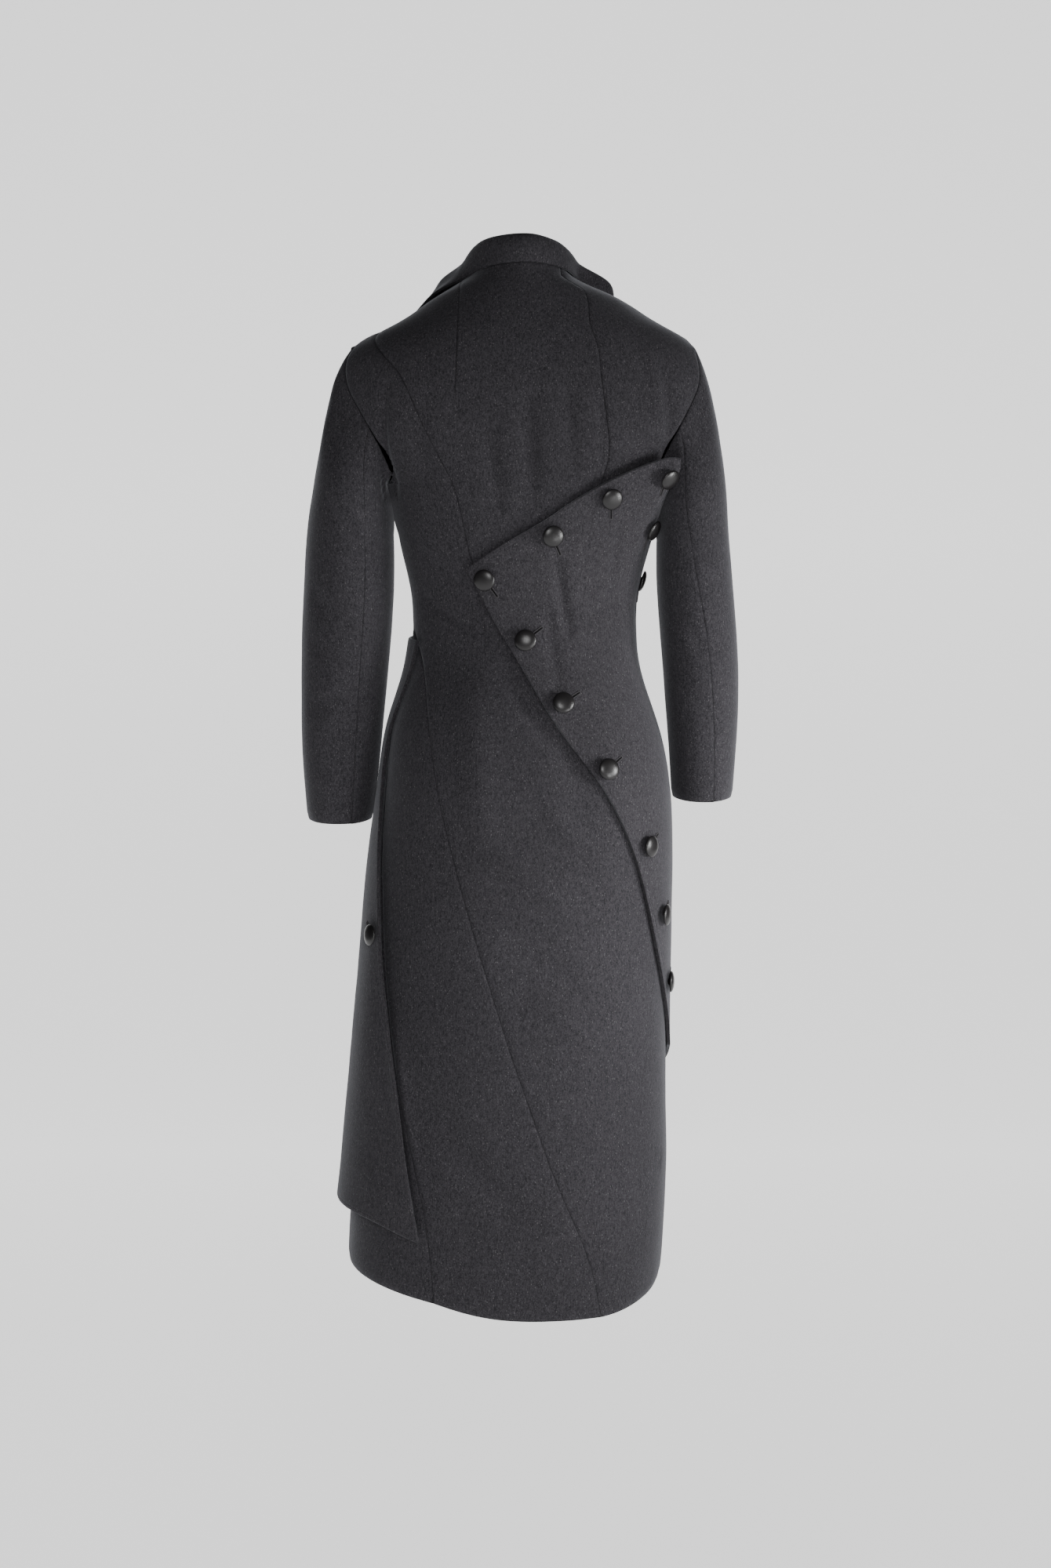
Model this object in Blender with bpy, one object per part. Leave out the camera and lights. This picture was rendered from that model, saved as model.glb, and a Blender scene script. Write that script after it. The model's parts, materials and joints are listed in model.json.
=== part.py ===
"""A fitted wool coat with a turned-down collar, two-piece sleeves and a large
buttoned overlay panel, standing hollow in the shape of the figure that wears it.

The back faces -Y, the wearer's right is +X and up is +Z. The origin lies
between the shoulders, at the level where the figure carries the coat.
"""

import math

import bpy
import bmesh
import numpy as np
from mathutils import Vector
from mathutils.bvhtree import BVHTree

# Driving sizes, in metres. Heights are counted up from the lowest hem level.
SHOULDER_LEVEL = 1.165
CLOTH = 0.0026
SEAM_GAP = 0.0004
SEAM_PROBE = 0.004
MOST_SLANT = 2.5
OVERLAY_CLEARANCE = 0.0016
OVERLAY_CLOTH = 0.0040
COLLAR_STAND = 0.0190
COLLAR_CLEARANCE = 0.0034
HEM_BLEND_TOP = 0.200
NECK_BLEND_BOTTOM = 1.128
NECK_LEVEL = 1.225
BUTTON_RADIUS = 0.0125
BUTTON_HEIGHT = 0.0056
BUTTON_CLEARANCE = 0.0005
BUTTON_SIDES = 12
SEAT_SPOKES = 48

# Angles round the body, in degrees. The middle of the back lies at 270.
LEFT = 180.0
RIGHT = 360.0
FRONT = 450.0
LEFT_AGAIN = 540.0

# Slices of the worn coat, from hem to neck.
BODY_COLUMNS = ("height", "left", "right", "back", "front", "squareness")
BODY = (
    (0.040, 0.211, 0.159, 0.150, 0.132, 2.20),
    (0.090, 0.211, 0.165, 0.149, 0.131, 2.20),
    (0.200, 0.201, 0.169, 0.145, 0.128, 2.20),
    (0.320, 0.193, 0.167, 0.141, 0.125, 2.25),
    (0.450, 0.183, 0.168, 0.136, 0.121, 2.30),
    (0.560, 0.175, 0.169, 0.131, 0.118, 2.30),
    (0.640, 0.165, 0.166, 0.128, 0.114, 2.30),
    (0.700, 0.158, 0.154, 0.117, 0.108, 2.25),
    (0.750, 0.143, 0.136, 0.103, 0.103, 2.20),
    (0.800, 0.131, 0.124, 0.090, 0.100, 2.20),
    (0.850, 0.131, 0.124, 0.087, 0.103, 2.20),
    (0.900, 0.142, 0.136, 0.092, 0.118, 2.25),
    (0.940, 0.151, 0.1475, 0.098, 0.131, 2.30),
    (0.965, 0.154, 0.153, 0.102, 0.136, 2.35),
    (0.985, 0.160, 0.159, 0.104, 0.135, 2.40),
    (1.005, 0.174, 0.173, 0.105, 0.132, 2.40),
    (1.030, 0.200, 0.199, 0.106, 0.127, 2.40),
    (1.057, 0.222, 0.220, 0.107, 0.122, 2.40),
    (1.090, 0.226, 0.222, 0.106, 0.112, 2.40),
    (1.127, 0.218, 0.211, 0.101, 0.098, 2.40),
    (1.150, 0.195, 0.195, 0.096, 0.087, 2.35),
    (1.165, 0.162, 0.168, 0.092, 0.080, 2.30),
    (1.185, 0.126, 0.134, 0.086, 0.072, 2.20),
    (1.205, 0.103, 0.104, 0.079, 0.066, 2.10),
    (1.222, 0.065, 0.056, 0.073, 0.060, 2.05),
    (1.245, 0.055, 0.046, 0.067, 0.054, 2.00),
)

# Height of the neckline round the body.
NECKLINE_COLUMNS = ("angle", "height")
NECKLINE = (
    (180, 1.223),
    (202, 1.235),
    (225, 1.242),
    (270, 1.245),
    (315, 1.239),
    (338, 1.231),
    (360, 1.222),
    (400, 1.192),
    (450, 1.162),
    (500, 1.192),
    (540, 1.223),
)

# Height of the hem round the body.
HEM_COLUMNS = ("angle", "height")
HEM = (
    (180, 0.076),
    (215, 0.063),
    (236, 0.053),
    (244, 0.049),
    (256, 0.038),
    (270, 0.033),
    (300, 0.033),
    (330, 0.043),
    (360, 0.062),
    (400, 0.078),
    (450, 0.084),
    (500, 0.082),
    (540, 0.076),
)

# Height of the collar's outer edge round the body.
COLLAR_EDGE_COLUMNS = ("angle", "height")
COLLAR_EDGE = (
    (180, 1.206),
    (202, 1.219),
    (225, 1.229),
    (270, 1.234),
    (315, 1.230),
    (338, 1.226),
    (360, 1.2205),
    (380, 1.212),
    (400, 1.184),
    (425, 1.134),
    (450, 1.108),
    (500, 1.152),
    (540, 1.206),
)

# Rows shared by all panels of the base coat. The armhole rows are in it.
LEVELS = (
    0.000, 0.080, 0.145, 0.205, 0.270, 0.335, 0.400, 0.455, 0.510, 0.560, 0.605, 0.645,
    0.680, 0.715, 0.750, 0.785, 0.820, 0.855, 0.890, 0.925, 0.958,
    0.985, 0.9875, 0.994, 1.008, 1.026, 1.048, 1.072, 1.094, 1.113, 1.128,
    1.142, 1.155, 1.165, 1.180, 1.195, 1.210, 1.225,
)

# Distance of the armhole seams from the middle of the body, behind and in front.
ARMHOLE_COLUMNS = ("height", "back", "front")
ARMHOLE = (
    (0.985, 1.000, 1.000),
    (0.9875, 0.972, 0.970),
    (0.994, 0.920, 0.910),
    (1.008, 0.880, 0.840),
    (1.026, 0.838, 0.780),
    (1.048, 0.815, 0.755),
    (1.072, 0.848, 0.788),
    (1.094, 0.898, 0.838),
    (1.113, 0.926, 0.890),
    (1.128, 0.944, 0.924),
    (1.142, 0.968, 0.960),
    (1.155, 1.000, 1.000),
)

# Seams of the base coat. The two spiral seams run down from the left to the right.
SEAM_COLUMNS = ("height", "angle")
UPPER_SPIRAL_SEAM = (
    (0.430, 360.0),
    (0.480, 346.0),
    (0.540, 330.5),
    (0.600, 316.0),
    (0.660, 300.5),
    (0.710, 290.0),
    (0.770, 277.0),
    (0.810, 266.5),
    (0.850, 256.5),
    (0.893, 247.0),
    (0.950, 245.3),
    (0.980, 243.6),
    (1.010, 242.2),
    (1.035, 242.6),
    (1.078, 239.8),
    (1.115, 233.0),
    (1.142, 215.0),
    (1.155, 198.0),
    (1.165, 180.0),
)
LOWER_SPIRAL_SEAM = (
    (0.040, 301.5),
    (0.115, 290.0),
    (0.173, 282.5),
    (0.225, 276.5),
    (0.293, 270.0),
    (0.383, 263.0),
    (0.488, 253.0),
    (0.560, 245.5),
    (0.620, 238.0),
    (0.663, 233.0),
    (0.708, 227.5),
    (0.745, 220.0),
    (0.780, 210.5),
    (0.803, 200.0),
    (0.820, 184.0),
)
SIDE_PANEL_SEAM = (
    (0.055, 242.5),
    (0.115, 239.0),
    (0.178, 235.5),
    (0.228, 231.0),
    (0.275, 226.5),
    (0.320, 221.5),
    (0.365, 216.5),
    (0.480, 206.0),
    (0.600, 196.0),
    (0.700, 189.0),
    (0.785, 181.5),
)
RIGHT_BACK_SEAM = (
    (0.645, 305.6),
    (0.700, 300.5),
    (0.850, 300.0),
    (1.000, 299.0),
    (1.050, 291.5),
    (1.104, 289.0),
    (1.152, 291.0),
    (1.188, 307.0),
    (1.225, 326.0),
)

# Outline of the overlay on the body.
OUTLINE_COLUMNS = ("angle", "height")
OVERLAY_TOP = (
    (244.5, 0.888),
    (268.0, 0.926),
    (288.5, 0.967),
    (308.0, 0.996),
    (326.5, 1.018),
    (337.0, 1.008),
    (344.0, 0.965),
    (355.0, 0.915),
    (372.0, 0.878),
    (400.0, 0.848),
    (450.0, 0.822),
    (510.0, 0.812),
    (565.0, 0.806),
)
OVERLAY_BACK_EDGE = (
    (244.5, 0.888),
    (253.9, 0.840),
    (265.9, 0.790),
    (281.0, 0.713),
    (304.5, 0.615),
    (316.8, 0.545),
    (325.0, 0.488),
    (333.6, 0.433),
    (346.0, 0.373),
    (356.5, 0.328),
)
OVERLAY_HEM = (
    (356.5, 0.328),
    (400.0, 0.262),
    (450.0, 0.210),
    (500.0, 0.167),
    (542.0, 0.147),
    (575.0, 0.139),
    (597.5, 0.120),
)
OVERLAY_FLAP_EDGE = (
    (565.0, 0.806),
    (559.5, 0.733),
    (555.5, 0.693),
    (556.5, 0.645),
    (562.5, 0.583),
    (574.0, 0.435),
    (585.7, 0.290),
    (590.7, 0.205),
    (595.8, 0.143),
    (597.5, 0.120),
)

# The overlay's parts, as shares of its length of about 1.3 m round the body.
PART_COLUMNS = ("name", "first", "last", "columns")
OVERLAY_PARTS = (
    ("overlay_wing", 0.0, 0.40, 16),
    ("overlay_front", 0.40, 0.76, 13),
    ("overlay_flap", 0.76, 1.0, 9),
)
OVERLAY_LENGTH = 1.3
OVERLAY_ROWS = 20

# Where the overlay stands off the coat beneath it, and how far across and forward.
LIFT_COLUMNS = ("angle", "height", "angle_reach", "height_reach", "across", "forward")
LIFTS = (
    (335.0, 1.000, 17.0, 0.048, 0.012, -0.026),
    (302.0, 1.005, 16.0, 0.035, 0.000, -0.007),
    (570.0, 0.420, 12.0, 0.180, -0.003, -0.006),
    (585.0, 0.160, 22.0, 0.120, 0.000, -0.006),
    (540.0, 0.400, 34.0, 0.260, -0.007, 0.000),
    (540.0, 0.130, 34.0, 0.170, -0.010, 0.000),
)

# Middle of each button on the coat.
BUTTON_COLUMNS = ("name", "angle", "height")
BUTTONS = (
    ("button_corner", 253.3, 0.877),
    ("button_top_1", 279.9, 0.927),
    ("button_top_2", 304.6, 0.969),
    ("button_top_3", 332.6, 0.993),
    ("button_back_1", 270.3, 0.807),
    ("button_back_2", 285.4, 0.735),
    ("button_back_3", 301.2, 0.661),
    ("button_back_4", 322.0, 0.572),
    ("button_back_5", 335.0, 0.490),
    ("button_back_6", 345.5, 0.408),
    ("button_front_1", 339.0, 0.936),
    ("button_front_2", 358.0, 0.877),
    ("button_front_3", 389.5, 0.836),
    ("button_front_4", 420.5, 0.811),
    ("button_front_5", 451.5, 0.800),
    ("button_front_6", 482.5, 0.793),
    ("button_front_7", 513.5, 0.789),
    ("button_flap", 566.5, 0.467),
)

# Rings of a button from its base to its dome, as shares of its radius and height.
PROFILE_COLUMNS = ("radius", "height")
BUTTON_PROFILE = (
    (0.90, 0.0),
    (1.00, 0.25),
    (0.92, 0.60),
    (0.55, 0.92),
)

# Sleeve rings below the armhole: middle, half sizes and height, for each side.
SLEEVE_COLUMNS = ("across", "forward", "height", "half_width", "half_depth", "twist")
LEFT_SLEEVE = (
    (-0.2018, -0.008, 0.962, 0.0477, 0.076, 0),
    (-0.2025, -0.007, 0.940, 0.0507, 0.074, 0),
    (-0.2044, -0.005, 0.880, 0.0538, 0.071, 0),
    (-0.2088, 0.000, 0.810, 0.0532, 0.066, 0),
    (-0.2135, 0.006, 0.735, 0.0503, 0.060, 0),
    (-0.2168, 0.013, 0.665, 0.0463, 0.056, 0),
    (-0.2187, 0.021, 0.595, 0.0392, 0.052, 0),
)
RIGHT_SLEEVE = (
    (0.1953, -0.004, 0.962, 0.0407, 0.071, 8),
    (0.1957, -0.002, 0.940, 0.0413, 0.068, 12),
    (0.1975, -0.001, 0.880, 0.0455, 0.066, 22),
    (0.2045, 0.001, 0.810, 0.0455, 0.063, 30),
    (0.2080, 0.006, 0.745, 0.0440, 0.060, 34),
    (0.2100, 0.013, 0.685, 0.0410, 0.056, 37),
    (0.2100, 0.021, 0.621, 0.0360, 0.052, 39),
)
SLEEVE_CAP_RINGS = 6
CAP_RISE = {"left": 0.185, "right": 0.105}
CAP_FULLNESS = {"left": 6.5, "right": 3.6}
CUFF_DROP = 0.0042
SLEEVE_TWIST = math.radians(15)

COAT_COLOUR = (0.034, 0.034, 0.038)
OVERLAY_COLOUR = (0.040, 0.040, 0.044)
BUTTON_COLOUR = (0.012, 0.009, 0.008)


def clear_scene():
    for item in list(bpy.data.objects):
        bpy.data.objects.remove(item, do_unlink=True)
    for mesh in list(bpy.data.meshes):
        bpy.data.meshes.remove(mesh)


def material(name, colour, roughness, metallic=0.0):
    made = bpy.data.materials.get(name)
    if made:
        return made
    made = bpy.data.materials.new(name)
    made.use_nodes = True
    shader = made.node_tree.nodes["Principled BSDF"]
    shader.inputs["Base Color"].default_value = (*colour, 1.0)
    shader.inputs["Roughness"].default_value = roughness
    shader.inputs["Metallic"].default_value = metallic
    return made


def smooth_curve(places, values):
    """Returns a smooth function through the points that never overshoots them."""
    x = np.array(places, float)
    y = np.array(values, float)
    step = np.diff(x)
    rise = np.diff(y) / step
    slope = np.zeros(len(x))
    for i in range(1, len(x) - 1):
        if rise[i - 1] * rise[i] > 0:
            first = 2 * step[i] + step[i - 1]
            second = step[i] + 2 * step[i - 1]
            slope[i] = (first + second) / (first / rise[i - 1] + second / rise[i])
    slope[0] = rise[0]
    slope[-1] = rise[-1]

    def value(place):
        place = min(max(place, x[0]), x[-1])
        i = min(max(int(np.searchsorted(x, place)) - 1, 0), len(x) - 2)
        t = (place - x[i]) / step[i]
        start = y[i] * (1 + 2 * t) * (1 - t) ** 2 + step[i] * slope[i] * t * (1 - t) ** 2
        end = y[i + 1] * t * t * (3 - 2 * t) + step[i] * slope[i + 1] * t * t * (t - 1)
        return float(start + end)

    return value


def column_curves(table, names):
    """Returns one smooth curve for each named column, along the first column."""
    places = [row[0] for row in table]
    curves = {}
    for number, name in enumerate(names):
        if number:
            curves[name] = smooth_curve(places, [row[number] for row in table])
    return curves


BODY_CURVES = column_curves(BODY, BODY_COLUMNS)
HEM_CURVE = column_curves(HEM, HEM_COLUMNS)["height"]
NECKLINE_CURVE = column_curves(NECKLINE, NECKLINE_COLUMNS)["height"]
COLLAR_EDGE_CURVE = column_curves(COLLAR_EDGE, COLLAR_EDGE_COLUMNS)["height"]
ARMHOLE_CURVES = column_curves(ARMHOLE, ARMHOLE_COLUMNS)
UPPER_SEAM_CURVE = column_curves(UPPER_SPIRAL_SEAM, SEAM_COLUMNS)["angle"]
LOWER_SEAM_CURVE = column_curves(LOWER_SPIRAL_SEAM, SEAM_COLUMNS)["angle"]
SIDE_SEAM_CURVE = column_curves(SIDE_PANEL_SEAM, SEAM_COLUMNS)["angle"]
RIGHT_SEAM_CURVE = column_curves(RIGHT_BACK_SEAM, SEAM_COLUMNS)["angle"]


def slice_point(angle, height):
    """Returns the point of the coat's outer surface at an angle and a height."""
    turn = math.radians(angle)
    across = math.cos(turn)
    along = math.sin(turn)
    side = "right" if across > 0 else "left"
    face = "front" if along > 0 else "back"
    power = 2 / BODY_CURVES["squareness"](height)
    x = BODY_CURVES[side](height) * math.copysign(abs(across) ** power, across)
    y = BODY_CURVES[face](height) * math.copysign(abs(along) ** power, along)
    return np.array((x, y, height - SHOULDER_LEVEL))


def surface_normal(angle, height):
    """Returns the outward direction of the coat's surface."""
    near, far = height - 0.004, height + 0.004
    round_way = slice_point(angle + 1.5, height) - slice_point(angle - 1.5, height)
    up_way = slice_point(angle, far) - slice_point(angle, near)
    normal = np.cross(round_way, up_way)
    return normal / np.linalg.norm(normal)


def body_point(angle, height, outward=0.0):
    """Returns a point at a distance outside the coat's outer surface."""
    return slice_point(angle, height) + outward * surface_normal(angle, height)


def true_height(level, angle):
    """Bends the lowest rows to the hem and the highest rows to the neckline."""
    around = (angle - LEFT) % 360 + LEFT
    if level < HEM_BLEND_TOP:
        hem = HEM_CURVE(around)
        return hem + (HEM_BLEND_TOP - hem) * level / HEM_BLEND_TOP
    if level > NECK_BLEND_BOTTOM:
        share = (level - NECK_BLEND_BOTTOM) / (NECK_LEVEL - NECK_BLEND_BOTTOM)
        return NECK_BLEND_BOTTOM + (NECKLINE_CURVE(around) - NECK_BLEND_BOTTOM) * share
    return level


def armhole_angle(level, branch):
    """Returns how far the armhole seam lies from the side, in degrees."""
    if not ARMHOLE[0][0] <= level <= ARMHOLE[-1][0]:
        return 0.0
    share = ARMHOLE_CURVES[branch](level)
    power = BODY_CURVES["squareness"](level) / 2
    return math.degrees(math.acos(min(1.0, share ** power)))


def seam_shift(edge, level):
    """Returns the angle that leaves half of the seam gap beside a seam, wider on a slant."""
    angle = edge(level)
    height = true_height(level, angle)
    step = slice_point(angle + 0.5, height) - slice_point(angle - 0.5, height)
    per_degree = max(np.linalg.norm(step), 1e-6)
    run = (edge(level + SEAM_PROBE) - edge(level - SEAM_PROBE)) * per_degree
    slant = min(math.hypot(run, 2 * SEAM_PROBE) / (2 * SEAM_PROBE), MOST_SLANT)
    return SEAM_GAP / 2 * slant / per_degree


def build_object(name, vertices, faces, finish, smooth=True):
    """Makes one closed, outward-facing object from points and faces."""
    mesh = bpy.data.meshes.new(name)
    mesh.from_pydata([tuple(map(float, v)) for v in vertices], [], faces)
    shape = bmesh.new()
    shape.from_mesh(mesh)
    bmesh.ops.remove_doubles(shape, verts=shape.verts, dist=0.00002)
    bmesh.ops.recalc_face_normals(shape, faces=shape.faces)
    for face in shape.faces:
        face.smooth = smooth
    shape.to_mesh(mesh)
    shape.free()
    made = bpy.data.objects.new(name, mesh)
    bpy.context.scene.collection.objects.link(made)
    made.data.materials.append(finish)
    return made


def cloth_wall(name, outer, inner, finish):
    """Joins two grids of points into one wall with a rim all round."""
    rows = len(outer)
    columns = len(outer[0])
    vertices = [point for row in outer for point in row]
    vertices += [point for row in inner for point in row]
    back = rows * columns
    faces = []
    for r in range(rows - 1):
        for c in range(columns - 1):
            a = r * columns + c
            b, d, e = a + 1, a + columns + 1, a + columns
            faces.append((a, b, d, e))
            faces.append((back + e, back + d, back + b, back + a))
    rim = [c for c in range(columns)]
    rim += [r * columns + columns - 1 for r in range(1, rows)]
    rim += [(rows - 1) * columns + c for c in range(columns - 2, -1, -1)]
    rim += [r * columns for r in range(rows - 2, 0, -1)]
    # Both sides of a seam split their rim along the same diagonal, so that twisted rims stay apart.
    for i, here in enumerate(rim):
        after = rim[(i + 1) % len(rim)]
        if here < after:
            faces.append((after, here, back + after))
            faces.append((here, back + here, back + after))
        else:
            faces.append((after, here, back + here))
            faces.append((after, back + here, back + after))
    return build_object(name, vertices, faces, finish)


def upright_panel(name, left_edge, right_edge, levels, columns, finish):
    """Makes a panel of the base coat between two seams given by level."""
    outer = []
    inner = []
    for level in levels:
        start = left_edge(level) + seam_shift(left_edge, level)
        end = right_edge(level) - seam_shift(right_edge, level)
        if end - start < 1.6:
            start = end = (start + end) / 2
        outer_row = []
        inner_row = []
        for c in range(columns + 1):
            angle = start + (end - start) * c / columns
            height = true_height(level, angle)
            outer_row.append(body_point(angle, height))
            inner_row.append(body_point(angle, height, -CLOTH))
        outer.append(outer_row)
        inner.append(inner_row)
    return cloth_wall(name, outer, inner, finish)


def levels_between(low, high):
    return [level for level in LEVELS if low - 1e-6 <= level <= high + 1e-6]


def base_panels(finish):
    """Makes the seven panels of the base coat."""
    def left_side(level):
        return LEFT + armhole_angle(level, "back")

    def right_side(level):
        return RIGHT - armhole_angle(level, "back")

    def right_side_front(level):
        return RIGHT + armhole_angle(level, "front")

    def left_side_front(level):
        return LEFT_AGAIN - armhole_angle(level, "front")

    def middle_front(level):
        return FRONT

    def spiral_left(level):
        return LOWER_SEAM_CURVE(level) if level < 0.830 else left_side(level)

    def spiral_right(level):
        return UPPER_SEAM_CURVE(level) if level > 0.430 else RIGHT

    def centre_left(level):
        return UPPER_SEAM_CURVE(level) if level < 1.165 else LEFT

    def side_left(level):
        return RIGHT_SEAM_CURVE(level) if level > 0.640 else UPPER_SEAM_CURVE(level)

    upright_panel("skirt_left_side", left_side, SIDE_SEAM_CURVE,
                  levels_between(0, 0.785), 7, finish)
    upright_panel("back_lower", SIDE_SEAM_CURVE, LOWER_SEAM_CURVE,
                  levels_between(0, 0.820), 7, finish)
    upright_panel("back_spiral", spiral_left, spiral_right,
                  levels_between(0, 1.165), 10, finish)
    upright_panel("back_centre", centre_left, RIGHT_SEAM_CURVE,
                  levels_between(0.645, 1.225), 9, finish)
    upright_panel("back_right_side", side_left, right_side,
                  levels_between(0.455, 1.225), 7, finish)
    upright_panel("front_right", right_side_front, middle_front, LEVELS, 9, finish)
    upright_panel("front_left", middle_front, left_side_front, LEVELS, 9, finish)


def armhole_loop(side):
    """Returns angles and heights of the armhole seam: up behind, down in front."""
    heights = [row[0] for row in ARMHOLE]
    loop = []
    for height in heights:
        turn = armhole_angle(height, "back")
        angle = LEFT + turn if side < 0 else RIGHT - turn
        loop.append((angle, true_height(height, angle)))
    for height in heights[-2:0:-1]:
        turn = armhole_angle(height, "front")
        angle = LEFT_AGAIN - turn if side < 0 else RIGHT + turn
        loop.append((angle, true_height(height, angle)))
    return loop


def hermite(start, start_way, end, end_way, t):
    """Returns a point of the smooth curve between two points with directions."""
    return (start * (1 + 2 * t) * (1 - t) ** 2 + start_way * t * (1 - t) ** 2
            + end * t * t * (3 - 2 * t) + end_way * t * t * (t - 1))


def tube_point(row, turn):
    """Returns a point of one sleeve ring, at an angle round the arm."""
    across, forward, height, half_width, half_depth, twist = row
    turn += math.radians(twist)
    c, s = math.cos(turn), math.sin(turn)
    x = half_width * math.copysign(abs(c) ** 0.92, c)
    y = half_depth * math.copysign(abs(s) ** 0.92, s)
    return np.array((across + x, forward + y, height - SHOULDER_LEVEL))


def sleeve_rings(side, table):
    """Returns the sleeve's rings of outer points and its directions at the armhole."""
    word = "left" if side < 0 else "right"
    loop = armhole_loop(side)
    count = len(loop)
    columns = []
    ways = []
    for i, (angle, height) in enumerate(loop):
        normal = surface_normal(angle, height)
        away = np.cross(normal, slice_point(*loop[(i + 1) % count]) - slice_point(*loop[i - 1]))
        away /= np.linalg.norm(away)
        if away[0] * side < 0:
            away = -away
        turn = 2 * math.pi * i / count - math.pi - SLEEVE_TWIST
        turn = turn if side > 0 else math.pi - turn
        first = tube_point(table[0], turn)
        second = tube_point(table[1], turn)
        high = 0.5 - 0.5 * math.cos(2 * math.pi * i / count)
        seam = slice_point(angle, height) + away * SEAM_GAP * (1 + 0.5 * high)
        way = away * 0.012 + np.array((side * 0.026, 0.0, -0.006 - CAP_RISE[word] * high))
        way -= normal * np.dot(way, normal) * high
        down = (second - first) * (1.2 + CAP_FULLNESS[word] * high)
        column = []
        for k in range(SLEEVE_CAP_RINGS):
            column.append(hermite(seam, way, first, down, k / SLEEVE_CAP_RINGS))
        for row in table:
            column.append(tube_point(row, turn))
        low = turn + math.radians(table[-1][-1])
        column[-1][2] -= CUFF_DROP * max(0.0, -math.sin(low)) ** 1.3
        columns.append(column)
        ways.append(way)
    return [list(ring) for ring in zip(*columns)], ways


def thicken_rings(rings, ways, side):
    """Returns the rings moved in by the cloth's thickness, along their normals."""
    count = len(rings[0])
    made = []
    for r, ring in enumerate(rings):
        inner = []
        for c in range(count):
            round_way = ring[(c + 1) % count] - ring[c - 1]
            down_way = ways[c]
            if r > 0:
                down_way = rings[min(r + 1, len(rings) - 1)][c] - rings[r - 1][c]
            normal = np.cross(round_way, down_way)
            normal /= np.linalg.norm(normal)
            inner.append(ring[c] + normal * CLOTH * side)
        made.append(inner)
    return made


def sleeve_pieces(side, table, finish):
    """Makes the upper and the under sleeve of one arm."""
    word = "left" if side < 0 else "right"
    outer, ways = sleeve_rings(side, table)
    inner = thicken_rings(outer, ways, side)
    count = len(outer[0])
    back_seam, front_seam = 5, count - 3

    def strip(rings, first, last):
        made = []
        for ring in rings:
            row = [ring[i % count] for i in range(first, last + 1)]
            ahead = row[1] - row[0]
            behind = row[-2] - row[-1]
            row[0] = row[0] + ahead / np.linalg.norm(ahead) * SEAM_GAP / 2
            row[-1] = row[-1] + behind / np.linalg.norm(behind) * SEAM_GAP / 2
            made.append(row)
        return made

    cloth_wall("sleeve_" + word + "_upper", strip(outer, back_seam, front_seam),
               strip(inner, back_seam, front_seam), finish)
    cloth_wall("sleeve_" + word + "_under", strip(outer, front_seam, count + back_seam),
               strip(inner, front_seam, count + back_seam), finish)


def run_of_points(table):
    """Returns a function that gives angle and height along an outline's length."""
    points = [np.array(row, float) for row in table]
    travel = [0.0]
    for a, b in zip(points, points[1:]):
        travel.append(travel[-1] + math.hypot((b[0] - a[0]) * 0.0026, b[1] - a[1]))
    shares = [t / travel[-1] for t in travel]
    angle = smooth_curve(shares, [p[0] for p in points])
    height = smooth_curve(shares, [p[1] for p in points])
    return lambda share: np.array((angle(share), height(share)))


def overlay_place(along, down, edges):
    """Returns angle and height at shares along and down the overlay."""
    top, hem, back, flap = edges
    between = (1 - down) * top(along) + down * hem(along)
    sides = (1 - along) * back(down) + along * flap(down)
    corners = ((1 - along) * (1 - down) * top(0) + along * (1 - down) * top(1)
               + (1 - along) * down * hem(0) + along * down * hem(1))
    return between + sides - corners


def overlay_point(place, outward):
    """Returns a point of the overlay over a place given by angle and height."""
    angle, height = place
    point = body_point(angle, height, OVERLAY_CLEARANCE + outward)
    for at_angle, at_height, turn, rise, across, forward in LIFTS:
        distance = math.hypot((angle - at_angle) / turn, (height - at_height) / rise)
        share = math.exp(-distance * distance)
        point = point + np.array((across, forward, 0.0)) * share
    return point


def overlay_pieces(finish):
    """Makes and returns the overlay's three parts: wing, front and flap."""
    made = []
    edges = (run_of_points(OVERLAY_TOP), run_of_points(OVERLAY_HEM),
             run_of_points(OVERLAY_BACK_EDGE), run_of_points(OVERLAY_FLAP_EDGE))
    for name, first, last, columns in OVERLAY_PARTS:
        gap = SEAM_GAP / OVERLAY_LENGTH
        start = first + (gap / 2 if first > 0 else 0)
        end = last - (gap / 2 if last < 1 else 0)
        outer = []
        inner = []
        for r in range(OVERLAY_ROWS + 1):
            outer_row = []
            inner_row = []
            for c in range(columns + 1):
                along = start + (end - start) * c / columns
                down = r / OVERLAY_ROWS
                place = overlay_place(along, down, edges)
                inner_row.append(overlay_point(place, 0.0))
                outer_row.append(overlay_point(place, OVERLAY_CLOTH))
            outer.append(outer_row)
            inner.append(inner_row)
        made.append(cloth_wall(name, outer, inner, finish))
    return made


def wall_tree(piece):
    """Returns a search tree of a piece's faces."""
    points = [vertex.co for vertex in piece.data.vertices]
    piece.data.calc_loop_triangles()
    triangles = [tuple(triangle.vertices) for triangle in piece.data.loop_triangles]
    return BVHTree.FromPolygons(points, triangles)


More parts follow.
